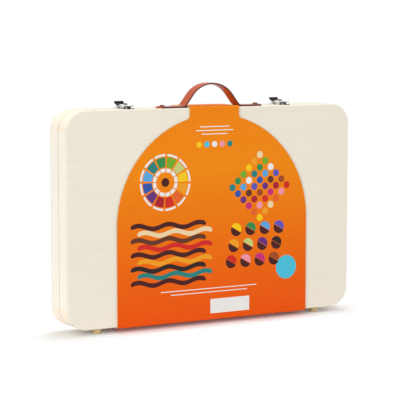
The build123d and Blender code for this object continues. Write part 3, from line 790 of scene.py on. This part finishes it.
def board_paper(mesh, columns, depth, finish_index):
    """One paper of the board, depth(x) under the print."""
    before = set(mesh.faces)
    for start, end, share in (
        (-arch_radius, -round_end, SIDE_SHARE),
        (-round_end, -tab_x, ROUND_SHARE),
        (-tab_x, tab_x, TAB_SHARE),
        (tab_x, round_end, ROUND_SHARE),
        (round_end, arch_radius, SIDE_SHARE),
    ):
        def body(u, v):
            x = arc_column(u, start, end)
            return board_place(x, body_stretch(v, face_stretch(sleeve_top(x))), depth(x))

        def tab(u, v):
            x = arc_column(u, start, end)
            return board_place(x, tab_stretch(v), depth(x))

        count = max(round(columns * share), LEAST_COLUMNS)
        lay_grid(mesh, count, BODY_ROWS, body)
        if start == -tab_x:
            lay_grid(mesh, count, TAB_ROWS, tab)
    for face in set(mesh.faces) - before:
        face.material_index = finish_index


def fluted_board(name, body, stands_for, back):
    """The three papers of one half of the sleeve."""
    mesh = bmesh.new()
    middle = PRINT_DEPTH + (BOARD - PRINT_DEPTH) / 2 - PAPER / 2
    swing = (BOARD - PRINT_DEPTH) / 2 - 1.5 * PAPER
    board_paper(mesh, FLAT_COLUMNS, lambda x: PRINT_DEPTH, 0)
    board_paper(mesh, WAVY_COLUMNS, lambda x: middle + swing * cos(2 * pi * x / FLUTE_PITCH), 1)
    board_paper(mesh, FLAT_COLUMNS, lambda x: BOARD - PAPER, 1)
    bmesh.ops.remove_doubles(mesh, verts=mesh.verts, dist=PAPER_WELD)
    if back:
        bmesh.ops.scale(mesh, vec=(1, -1, 1), verts=mesh.verts)
        bmesh.ops.reverse_faces(mesh, faces=mesh.faces)
    piece = finish_piece(
        mesh, name, body, [orange_print, kraft, kraft], [stands_for]
    )
    walls = piece.modifiers.new("paper", "SOLIDIFY")
    walls.thickness = PAPER
    walls.offset = -1
    walls.material_offset = 1
    walls.material_offset_rim = 1


# %% [markdown]
# The print runs from deep orange at the foot to a lighter orange at the top, which a ramp over the
# height gives. The flutes show through it as fine upright lines, so a wave along X tints the
# colour and bends the light. The other papers are pale kraft with long fibres.

# %% Print and kraft paper
orange_print = Finish("orange_print", specular_ior_level=0.12)
rise = (orange_print.axis("Z") - board_bottom) / (board_top - board_bottom)
fade = orange_print.ramp(
    rise,
    [
        (0.0, rgb(234, 84, 2)),
        (0.2, rgb(236, 98, 2)),
        (0.5, rgb(238, 124, 4)),
        (0.72, rgb(240, 140, 8)),
        (1.0, rgb(240, 134, 8)),
    ],
)
wave = orange_print.axis("X").wave(FLUTE_PITCH)
mottle = orange_print.noise(60, detail=3)
shade = 0.06 + wave * 0.06 + mottle * 0.1
orange_print.paint(
    base_color=orange_print.mix(shade, fade, rgb(190, 64, 14)), roughness=0.58 + mottle * 0.14
)
orange_print.bump(wave, 0.5, 0.06 * MM)

kraft = Finish("kraft_paper", roughness=0.85, specular_ior_level=0.2)
fibre = kraft.noise(1, (900, 900, 250), 4)
kraft.paint(base_color=kraft.mix(fibre, rgb(240, 226, 202), rgb(216, 196, 164)))
kraft.bump(fibre, 0.4, 0.04 * MM)

fluted_board("front_fluted_board", "sleeve_front_board", "sleeve_front", back=False)
fluted_board("back_fluted_board", "sleeve_back_board", "sleeve_back", back=True)

# %% [markdown]
# The print on the sleeve is a plain design of this lesson's own, in the warm and cool colours of
# art supplies: a colour wheel, a diamond of paint dabs, wavy brush strokes and half discs. It
# could be a picture laid over the paper, but a picture blurs close up. Here each colour is flat
# ink, cut as a thin patch that lies on the paper and keeps its colour in an attribute.

# %% Ink colours
INK_THICKNESS = 0.04 * MM
INK_PLACE = -(board_front - PRINT_DEPTH) - INK_THICKNESS

WHITE = rgb(236, 235, 231)
CREAM = rgb(238, 214, 168)
YELLOW = rgb(246, 202, 16)
AMBER = rgb(240, 158, 28)
ORANGE = rgb(228, 98, 36)
RED = rgb(210, 36, 30)
CRIMSON = rgb(168, 22, 44)
PINK = rgb(240, 150, 170)
MAGENTA = rgb(200, 40, 120)
PURPLE = rgb(96, 44, 124)
VIOLET_BLUE = rgb(84, 84, 186)
BLUE = rgb(28, 84, 170)
SKY = rgb(80, 166, 226)
CYAN = rgb(66, 194, 220)
TEAL = rgb(10, 128, 124)
GREEN = rgb(34, 140, 76)
LEAF = rgb(108, 172, 40)
LIME = rgb(196, 206, 120)
SIENNA = rgb(158, 72, 32)
BROWN = rgb(92, 48, 30)
MAROON = rgb(62, 16, 20)
BLACK = rgb(26, 24, 26)
print("ink lies", round(-INK_PLACE / MM, 2), "mm in front of the seam")

# %% [markdown]
# A patch starts as a flat shape about zero, in millimetres: a circle, a spun line or a grid. Then
# it is coloured, turned upright and moved to its spot on the face.

# %% Ink patches
ROUND_SIDES = 20
LOBE_SIDES = 8
WEDGE_STEP = 9
STROKE_STEPS = 48
STROKE_TIP = 0.02


class Inks:
    """Flat patches of ink, placed in millimetres from the middle of the sleeve's face."""

    def __init__(self):
        self.mesh = bmesh.new()
        self.colours = self.mesh.verts.layers.float_color.new("ink")
        self.middle = Vector((0, INK_PLACE, (case_low.z + case_high.z) / 2))

    def lay(self, verts, colour, spot, turn=0.0):
        """Colours a patch that was made flat about zero and moves it to its spot."""
        place = Matrix.Translation(self.middle + Vector((spot[0], 0, spot[1])) * MM)
        place = place @ Matrix.Rotation(radians(turn), 4, "Y") @ Matrix.Rotation(pi / 2, 4, "X")
        for vert in verts:
            vert.co = place @ (vert.co * MM)
            vert[self.colours] = colour

    def disc(self, radius, colour, spot):
        """A round dab."""
        made = bmesh.ops.create_circle(
            self.mesh, cap_ends=True, segments=ROUND_SIDES, radius=radius
        )["verts"]
        self.lay(made, colour, spot)

    def scallop(self, radius, lobes, depth, colour, spot):
        """A disc with a gently waved rim."""
        made = bmesh.ops.create_circle(
            self.mesh, cap_ends=True, segments=lobes * LOBE_SIDES, radius=radius
        )["verts"]
        for vert in made:
            turn = vert.co.to_2d().angle_signed(Vector((1, 0)))
            vert.co *= 1 + depth * cos(lobes * turn)
        self.lay(made, colour, spot)

    def wedge(self, inner, outer, sweep, colour, spot, turn):
        """Part of a ring, or of a disc where inner is nearly zero."""
        before = set(self.mesh.verts)
        ends = [self.mesh.verts.new((side, 0, 0)) for side in (inner, outer)]
        edge = self.mesh.edges.new(ends)
        bmesh.ops.spin(
            self.mesh, geom=[*ends, edge], cent=(0, 0, 0), axis=(0, 0, 1),
            angle=radians(sweep), steps=max(round(sweep / WEDGE_STEP), 2),
        )
        self.lay(set(self.mesh.verts) - before, colour, spot, turn)

    def stroke(self, length, width, swing, waves, colour, spot):
        """A wavy brush stroke with round ends."""
        def place(u, v):
            x = (u - 0.5) * length
            end = max(abs(x) - (length - width) / 2, 0) / (width / 2)
            full = sqrt(max(1 - end**2, STROKE_TIP**2))
            return Vector((x, swing * sin(2 * pi * waves * u) + (v - 0.5) * width * full, 0))

        self.lay(lay_grid(self.mesh, STROKE_STEPS, 1, place), colour, spot)

    def panel(self, width, height, colour, spot):
        """A plain rectangle."""
        def place(u, v):
            return Vector(((u - 0.5) * width, (v - 0.5) * height, 0))

        self.lay(lay_grid(self.mesh, 1, 1, place), colour, spot)


inks = Inks()
print("the middle of the face is at", [round(part / MM, 1) for part in inks.middle], "mm")

# %% [markdown]
# The upper half of the layout: a wheel of wedges in three rings sits high on the left, and a
# diamond of round dabs high on the right. Both come from short lists of colours and a pitch, so
# that a spot moves with its whole figure.

# %% Colour wheel and dabs
WHEEL = [YELLOW, AMBER, ORANGE, RED, CRIMSON, PURPLE, BLUE, SKY, TEAL, GREEN, LEAF, LIME]
WHEEL_SPOT = (-76, 46)
WHEEL_SWEEP = 25
WHEEL_HUB = 6
for index, colour in enumerate(WHEEL):
    turn = index * 360 / len(WHEEL)
    for inner, outer, tone in ((14, 19, WHITE), (20.5, 34, colour), (35.5, 38.5, WHITE)):
        inks.wedge(inner, outer, WHEEL_SWEEP, tone, WHEEL_SPOT, turn)
inks.disc(WHEEL_HUB, MAROON, WHEEL_SPOT)

DABS = [
    YELLOW, AMBER, CREAM, ORANGE, PINK, RED, MAGENTA, CRIMSON, SIENNA, PURPLE, BROWN, VIOLET_BLUE,
    BLUE, SKY, WHITE, TEAL, GREEN, LEAF,
]
DAB_SPOT = (72, 34)
DAB_PITCH = 12.4
DAB_SIDE = 6
DAB_RADIUS = 4.9
for index in range(DAB_SIDE**2):
    column, row = index % DAB_SIDE, index // DAB_SIDE
    x = DAB_SPOT[0] + (column - row) * DAB_PITCH / sqrt(2)
    z = DAB_SPOT[1] + (column + row - DAB_SIDE + 1) * DAB_PITCH / sqrt(2)
    colour = DABS[(column + row * 3) % len(DABS)]
    inks.disc(DAB_RADIUS, colour, (x, z))
print("wheel of", len(WHEEL), "and", DAB_SIDE**2, "dabs")

# %% [markdown]
# The lower half: wavy strokes fill the left, each a grid bent along a sine with its ends narrowed
# to a round. Half discs stand on the right in three rows, each with a dark half turned against it.

# %% Strokes and half discs
STROKES = [MAROON, CREAM, BROWN, RED, MAROON, AMBER, BLACK, TEAL, MAROON]
STROKE_SPOT = (-66, -13)
STROKE_SHIFT = 5
STROKE_PITCH = 9.6
STROKE_SIZE = (116, 6.4)
STROKE_SWING = 2.6
STROKE_WAVES = 2.5
for index, colour in enumerate(STROKES):
    shift = STROKE_SHIFT if index % 2 else -STROKE_SHIFT
    spot = (STROKE_SPOT[0] + shift, STROKE_SPOT[1] - STROKE_PITCH * index)
    inks.stroke(*STROKE_SIZE, STROKE_SWING, STROKE_WAVES, colour, spot)

HALVES = [YELLOW, GREEN, SKY, VIOLET_BLUE, AMBER, LIME, PURPLE, BLACK, RED, PINK, MAGENTA, SIENNA]
HALF_SPOT = (34, -24)
HALF_PITCH = (23, 22)
HALF_LEAN = 4
HALF_SIZE = (0.2, 8.6)
HALF_TURN = 30
HALF_GAP = (0.5, -1)
HALF_COLUMNS = 4
for index, colour in enumerate(HALVES):
    column, row = index % HALF_COLUMNS, index // HALF_COLUMNS
    x = HALF_SPOT[0] + HALF_PITCH[0] * column - HALF_LEAN * row
    z = HALF_SPOT[1] - HALF_PITCH[1] * row
    inks.wedge(*HALF_SIZE, 180, colour, (x, z), HALF_TURN)
    against = (x + HALF_GAP[0], z + HALF_GAP[1])
    inks.wedge(*HALF_SIZE, 180, MAROON, against, HALF_TURN + 180)
print(len(STROKES), "strokes and", len(HALVES), "half discs")

# %% [markdown]
# Plain shapes fill the rest: thin white rules and a row of small discs above, and rules, a white
# panel and a blue scalloped disc along the foot.

# %% Rules, panel and discs
inks.scallop(radius=16.6, lobes=20, depth=0.025, colour=CYAN, spot=(115.5, -82))
inks.panel(width=62, height=20, colour=WHITE, spot=(24.5, -128))
for length, width, spot in (
    (46, 1.3, (0, 119)),
    (58, 1.3, (0, 114)),
    (40, 1.3, (0, 109)),
    (150, 1.2, (-8, -103)),
    (120, 1.2, (-8, -108)),
):
    inks.panel(length, width, WHITE, spot)
for index, colour in enumerate((YELLOW, CYAN, WHITE, PINK, TEAL)):
    inks.disc(4.2, colour, (-24 + 12 * index, 95))
print(len(inks.mesh.faces), "faces of ink")

# %% [markdown]
# The ink takes its colour from the attribute and is a little uneven, as print on board is. A
# Solidify modifier sinks its edges into the paper, so that no light gets under it.

# %% Printing ink
for face in inks.mesh.faces:
    if face.normal.y > 0:
        face.normal_flip()
ink = Finish("printing_ink", specular_ior_level=0.15)
tint = ink.node("ShaderNodeAttribute", {"attribute_name": "ink"}, output="Color")
grain = ink.noise(700, detail=3)
ink.paint(base_color=ink.mix(grain * 0.16, tint, rgb(120, 60, 30)), roughness=0.34 + grain * 0.12)
ink.bump(ink.noise(2600, detail=1), 0.3, 0.02 * MM)
print_piece = finish_piece(
    inks.mesh, "printed_design", "sleeve_front_board", [ink], smooth=False
)
film = print_piece.modifiers.new("film", "SOLIDIFY")
film.thickness = INK_THICKNESS + PRINT_DEPTH
film.offset = -1

# %% [markdown]
# Inside are two trays of thin black plastic, drawn down over a mould, so their corners are soft
# and their skin has a faint orange-peel sheen. The sheen is relief too fine to model, so it is a
# bump from small noise, and larger noise greys the black where dust settles.

# %% Moulded trays
tray_plastic = Finish("tray_plastic", specular_ior_level=0.5)
peel = tray_plastic.noise(900, detail=2)
dust = tray_plastic.noise(40, detail=3)
tray_plastic.paint(
    base_color=tray_plastic.mix(dust * 0.5, rgb(30, 29, 30), rgb(52, 50, 50)),
    roughness=0.34 + peel * 0.14,
)
tray_plastic.bump(peel, 0.35, 0.06 * MM)
dress(tray_plastic, "front_tray", "back_tray")

# %% [markdown]
# The supplies lie side by side at an even pitch, so one finish can colour a whole row: a ramp
# with sharp steps turns the place along the row into the colour of the pencil, cap or stick there.
# A finish for every colour would work too, but it would take some eighty of them.

# %% Rows of colour
def row_colour(finish, node, colours, across):
    """The colour of the piece at each place along X, for a row of pieces so wide."""
    low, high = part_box(node)
    pitch = (high.x - low.x - across) / (len(colours) - 1)
    start = low.x + across / 2 - pitch / 2
    share = (finish.axis("X") - start) / (pitch * len(colours))
    stops = [(index / len(colours), colour) for index, colour in enumerate(colours)]
    return finish.ramp(share, stops, "CONSTANT")


PENCIL_COLOURS = [
    BLACK, BROWN, SIENNA, CRIMSON, CREAM, AMBER, MAGENTA, VIOLET_BLUE, BLUE, SKY, LEAF, GREEN,
    TEAL, LIME, PURPLE, RED, PINK, ORANGE, RED, AMBER, ORANGE, YELLOW, WHITE, AMBER,
]
MARKER_COLOURS = [
    YELLOW, GREEN, SKY, VIOLET_BLUE, LIME, BROWN, BLACK, RED, AMBER, PURPLE, PINK, MAGENTA,
]
PASTEL_TOP = [
    CREAM, WHITE, WHITE, rgb(246, 190, 150), ORANGE, PINK, RED, MAGENTA, rgb(176, 74, 170), AMBER,
    ORANGE, RED, AMBER, ORANGE, YELLOW, LIME, LEAF, GREEN,
]
PASTEL_LOW = [
    AMBER, TEAL, LEAF, LIME, CREAM, SKY, rgb(120, 160, 210), VIOLET_BLUE, BLUE, rgb(58, 60, 140),
    PURPLE, rgb(206, 150, 206), CRIMSON, SIENNA, BROWN, SIENNA, BROWN, BLACK,
]
TUBE_TOP = [WHITE, YELLOW, AMBER, RED, CRIMSON, LEAF]
TUBE_LOW = [TEAL, SKY, PURPLE, ORANGE, BROWN, BLACK]
BAND_SOFT = 0.05 * MM
print("colours:", len(PENCIL_COLOURS), "pencils,", len(PASTEL_TOP) + len(PASTEL_LOW), "pastels")

# %% [markdown]
# A pencil is lacquered cedar with a dipped end and a white ring, which come from its height. Where
# the sharpener has cut through the lacquer, the bare cone shows. Its edge isn't straight on a
# six-sided pencil, so it is found from how far the surface faces towards the point.

# %% Coloured pencils
PENCIL_ACROSS = 7.97 * MM
DIP_HEIGHT = 15 * MM
RING_HEIGHT = 1.6 * MM
CONE_FACING = 0.06
CEDAR = rgb(226, 186, 138)
CEDAR_DEEP = rgb(196, 146, 98)

dip_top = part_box("colour_pencils")[0].z + DIP_HEIGHT
lacquer = Finish("pencil_lacquer", coat_weight=0.5, coat_roughness=0.12)
own = row_colour(lacquer, "colour_pencils", PENCIL_COLOURS, PENCIL_ACROSS)
height = lacquer.axis("Z")
bare = lacquer.facing("Z").above(CONE_FACING, CONE_FACING / 4)
dip = 1 - height.above(dip_top, BAND_SOFT)
ring_band = height.within(dip_top, dip_top + RING_HEIGHT, BAND_SOFT)
cedar_grain = lacquer.noise(1, (1500, 1500, 60), 2)
cedar = lacquer.mix(cedar_grain, CEDAR, CEDAR_DEEP)
barrel = lacquer.mix(dip, rgb(74, 20, 22), own)
barrel = lacquer.mix(ring_band, barrel, WHITE)
lacquer.paint(
    base_color=lacquer.mix(bare, barrel, cedar),
    roughness=0.25 + bare * 0.45,
    coat_weight=(1 - bare) * 0.5,
)
lacquer.bump(cedar_grain * bare, 0.3, 0.06 * MM)
dress(lacquer, "colour_pencils")

cores = Finish("pencil_cores", roughness=0.45)
points_low, points_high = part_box("colour_pencil_points")
core_across = points_high.y - points_low.y
core_colour = row_colour(cores, "colour_pencil_points", PENCIL_COLOURS, core_across)
wax = cores.noise(3000, detail=2)
cores.paint(base_color=cores.mix(wax * 0.3, core_colour, WHITE), roughness=0.35 + wax * 0.2)
cores.bump(wax, 0.4, 0.03 * MM)
dress(cores, "colour_pencil_points")

# %% [markdown]
# The two drawing pencils lie along X, so the same ideas are used with another axis: a plain dark
# lacquer, a pale band at the tail, a bare cone and a grey, slightly metallic point.

# %% Drawing pencils
TAIL_BAND = 7.5 * MM
graphite_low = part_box("graphite_pencils")[0]
drawing = Finish("drawing_pencil", coat_weight=0.4, coat_roughness=0.15)
cone = drawing.facing("X").above(CONE_FACING, CONE_FACING / 4)
tail_band = 1 - drawing.axis("X").above(graphite_low.x + TAIL_BAND, BAND_SOFT)
body_colour = drawing.mix(tail_band, rgb(34, 28, 28), rgb(206, 200, 190))
end_grain = drawing.noise(1, (60, 1500, 1500), 2)
bare_wood = drawing.mix(end_grain, CEDAR, CEDAR_DEEP)
drawing.paint(base_color=drawing.mix(cone, body_colour, bare_wood), roughness=0.28 + cone * 0.4)
drawing.bump(end_grain, 0.2, 0.03 * MM)
dress(drawing, "graphite_pencils")

graphite = Finish("graphite", metallic=0.4)
smear = graphite.noise(2400, detail=2)
graphite.paint(base_color=graphite.mix(smear, rgb(58, 58, 62), rgb(92, 92, 98)), roughness=0.4)
graphite.bump(smear, 0.4, 0.02 * MM)
dress(graphite, "graphite_points")

# %% [markdown]
# The markers have dark barrels and bright caps. The barrel has a narrow band in the cap's colour
# near its tail, so that it can be told apart with the cap off. Both are moulded plastic, with a
# thin clear coat for the gloss and faint clouds where fingers have rubbed it.

# %% Markers
CAP_ACROSS = 10.5 * MM
BARREL_ACROSS = 9.8 * MM
BAND_LOW = 5 * MM
BAND_HIGH = 8 * MM
caps = Finish("marker_caps", coat_weight=0.3, coat_roughness=0.2)
cap_colour = row_colour(caps, "marker_caps", MARKER_COLOURS, CAP_ACROSS)
cap_cloud = caps.noise(500, detail=2)
caps.paint(
    base_color=caps.mix(cap_cloud * 0.12, cap_colour, WHITE), roughness=0.28 + cap_cloud * 0.1
)
caps.bump(cap_cloud, 0.3, 0.03 * MM)
dress(caps, "marker_caps")

barrels = Finish("marker_barrels", coat_weight=0.2, coat_roughness=0.25)
from_foot = barrels.axis("Z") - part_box("marker_barrels")[0].z
band = from_foot.within(BAND_LOW, BAND_HIGH, BAND_SOFT)
own = row_colour(barrels, "marker_barrels", MARKER_COLOURS, BARREL_ACROSS)
rub = barrels.noise(350, (1, 1, 0.3), 3)
dark = barrels.mix(rub, rgb(52, 26, 26), rgb(74, 42, 40))
barrels.paint(base_color=barrels.mix(band, dark, own), roughness=0.32 + rub * 0.12)
barrels.bump(rub, 0.25, 0.03 * MM)
dress(barrels, "marker_barrels")

# %% [markdown]
# Each oil pastel is a waxy stick with a bloom of paler wax. The sticks stand in two rows of their
# own colours, so the finish asks first in which row a point is.

# %% Oil pastels
PASTEL_RADIUS = 4.5 * MM
PASTEL_ACROSS = 2 * PASTEL_RADIUS
PASTEL_LENGTH = 65 * MM
pastel_low, pastel_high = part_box("oil_pastels")
pastel_middle = (pastel_low.z + pastel_high.z) / 2


def pastel_colour(finish):
    """The stick's colour, from its place in the two rows."""
    upper = finish.axis("Z").above(pastel_middle)
    return finish.mix(
        upper,
        row_colour(finish, "oil_pastels", PASTEL_LOW, PASTEL_ACROSS),
        row_colour(finish, "oil_pastels", PASTEL_TOP, PASTEL_ACROSS),
    )


pastel = Finish("oil_pastel", specular_ior_level=0.4)
bloom = pastel.noise(500, detail=4)
pastel.paint(
    base_color=pastel.mix(bloom * 0.25, pastel_colour(pastel), WHITE),
    roughness=0.5 + bloom * 0.2,
)
pastel.bump(bloom, 0.5, 0.08 * MM)
dress(pastel, "oil_pastels")

# %% [markdown]
# A wrapper is a short paper tube round the middle of a stick, which leaves its ends bare. A cone
# with equal radii and no caps makes the tube, and a Solidify modifier its wall. Its finish is the
# stick's colour under white, with a paler stripe near each end.

# %% Pastel wrappers
WRAPPER_LENGTH = 47 * MM
WRAPPER_THICKNESS = 0.12 * MM
WRAPPER_GAP = 0.03 * MM
WRAPPER_SIDES = 28
STRIPE = 3 * MM
outside = PASTEL_RADIUS + WRAPPER_GAP + WRAPPER_THICKNESS
row_shift = (pastel_high.z - pastel_low.z - PASTEL_LENGTH) / 2
pastel_pitch = (pastel_high.x - pastel_low.x - PASTEL_ACROSS) / (len(PASTEL_TOP) - 1)
wrappers = bmesh.new()
for level in (-1, 1):
    for index in range(len(PASTEL_TOP)):
        spot = Vector((
            pastel_low.x + PASTEL_RADIUS + index * pastel_pitch,
            (pastel_low.y + pastel_high.y) / 2,
            pastel_middle + level * row_shift,
        ))
        bmesh.ops.create_cone(
            wrappers, segments=WRAPPER_SIDES, radius1=outside, radius2=outside,
            depth=WRAPPER_LENGTH, matrix=Matrix.Translation(spot),
        )
paper = Finish("wrapper_paper", roughness=0.6)
from_middle = (paper.axis("Z") - pastel_middle).size() - row_shift
striped = from_middle.size().above(WRAPPER_LENGTH / 2 - STRIPE, BAND_SOFT)
pulp = paper.noise(1600, detail=2)
tinted = paper.mix(0.35, pastel_colour(paper), WHITE)
paper.paint(
    base_color=paper.mix(striped * 0.8 + pulp * 0.08, tinted, rgb(244, 242, 236)),
    roughness=0.5 + pulp * 0.2,
)
paper.bump(pulp, 0.4, 0.03 * MM)
wrapper_piece = finish_piece(wrappers, "pastel_wrappers", "front_half", [paper])
wall = wrapper_piece.modifiers.new("wall", "SOLIDIFY")
wall.thickness = WRAPPER_THICKNESS
wall.offset = -1

# %% [markdown]
# The paint tubes are white metal with a coloured field in the middle, a plain label box and a
# folded tail. They lie in two rows, so heights are measured from the tail of the row's own tubes.
# Broad soft noise gives the thin metal its dents. The caps are white plastic with fine ribs, which
# come from a wave along X.

# %% Paint tubes
TUBE_ACROSS = 21 * MM
TUBE_LENGTH = 66.5 * MM
FIELD = (17 * MM, 56 * MM)
LABEL = (24 * MM, 31 * MM)
FIELD_SOFT = 0.1 * MM
RIB_PITCH = 1.496 * MM
tube_low, tube_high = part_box("paint_tube_bodies")
tube_middle = (tube_low.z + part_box("paint_tube_caps")[1].z) / 2
enamel = Finish("tube_enamel", coat_weight=0.25, coat_roughness=0.2, specular_ior_level=0.5)
upper = enamel.axis("Z").above(tube_middle)
paint_colour = enamel.mix(
    upper,
    row_colour(enamel, "paint_tube_bodies", TUBE_LOW, TUBE_ACROSS),
    row_colour(enamel, "paint_tube_bodies", TUBE_TOP, TUBE_ACROSS),
)
row_rise = tube_high.z - TUBE_LENGTH - tube_low.z
from_tail = enamel.axis("Z") - (tube_low.z + row_rise * upper)
field = from_tail.within(*FIELD, FIELD_SOFT)
label = from_tail.within(*LABEL, FIELD_SOFT)
dent = enamel.noise(130, detail=2)
scuff = enamel.noise(900, detail=3)
coloured = enamel.mix(field, rgb(238, 236, 230), paint_colour)
enamel.paint(
    base_color=enamel.mix(label * 0.85, coloured, rgb(250, 248, 244)),
    roughness=0.28 + scuff * 0.15,
)
enamel.bump(dent * 0.8 + scuff * 0.05, 0.5, 0.5 * MM)
dress(enamel, "paint_tube_bodies")

cap_plastic = Finish("tube_cap_plastic", specular_ior_level=0.5)
ribs = cap_plastic.axis("X").wave(RIB_PITCH)
moulding = cap_plastic.noise(600, detail=2)
cap_plastic.paint(
    base_color=cap_plastic.mix(moulding * 0.4, rgb(240, 238, 234), rgb(222, 218, 212)),
    roughness=0.35 + moulding * 0.1,
)
cap_plastic.bump(ribs * 0.5 + moulding * 0.2, 0.6, 0.25 * MM)
dress(cap_plastic, "paint_tube_caps")

# %% [markdown]
# Two brushes have pale lacquered handles, crimped ferrules and soft pale hair. All of them lie
# along X, so their grain, crimps and hairs are noise and waves that are drawn out along it.

# %% Brushes
CRIMP_PITCH = 4 * MM
CRIMP_EDGE = 0.86
brush_wood = Finish("brush_wood", coat_weight=0.5, coat_roughness=0.15)
streak = brush_wood.noise(1, (40, 900, 900), 3)
brush_wood.paint(
    base_color=brush_wood.mix(streak, rgb(240, 228, 206), rgb(222, 200, 168)),
    roughness=0.3 + streak * 0.15,
)
brush_wood.bump(streak, 0.3, 0.04 * MM)
dress(brush_wood, "brush_handles")

ferrule = Finish("ferrule_metal", metallic=1.0)
crimp = ferrule.axis("X").wave(CRIMP_PITCH).above(CRIMP_EDGE, 0.1)
turned = ferrule.noise(1, (3000, 120, 120), 2)
ferrule.paint(
    base_color=ferrule.mix(crimp, rgb(214, 212, 208), rgb(150, 148, 144)),
    roughness=0.2 + turned * 0.2,
)
ferrule.bump(1 - crimp, 0.6, 0.25 * MM)
dress(ferrule, "brush_ferrules")

hair = Finish("brush_hair", specular_ior_level=0.3)
strand = hair.noise(1, (60, 5200, 5200), 2)
hair.paint(base_color=hair.mix(strand, rgb(236, 224, 200), rgb(176, 148, 108)), roughness=0.55)
hair.bump(strand, 0.8, 0.2 * MM)
dress(hair, "brush_hair")

# %% [markdown]
# Last come a white eraser, whose chalky skin is greyed where it has rubbed, and a small cast metal
# sharpener with its steel blade. The list that the cell prints names each node that was
# forgotten, so it should be empty.

# %% Eraser and sharpener
rubber = Finish("eraser_rubber", subsurface_weight=0.05)
chalk = rubber.noise(700, detail=4)
rubbed = rubber.noise(90, detail=3).above(0.62, 0.06)
rubber.paint(
    base_color=rubber.mix(rubbed * 0.35, rgb(240, 239, 235), rgb(186, 184, 182)),
    roughness=0.65 + chalk * 0.15,
)
rubber.bump(chalk, 0.5, 0.08 * MM)
dress(rubber, "eraser")

cast = metal("cast_magnesium", rgb(150, 152, 156), rgb(192, 194, 198), 0.5, 0.35, 400)
blade_steel = metal("blade_steel", rgb(120, 122, 128), rgb(206, 208, 214), 0.45, 0.15, 250)
dress(cast, "sharpener_body")
dress(blade_steel, "sharpener_blade", "sharpener_screw")
undressed = [
    name for name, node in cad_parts.items()
    if name not in DRESSED and name not in ("handle_strap", "sleeve_front", "sleeve_back")
]
print("nodes without a finish of their own:", undressed)
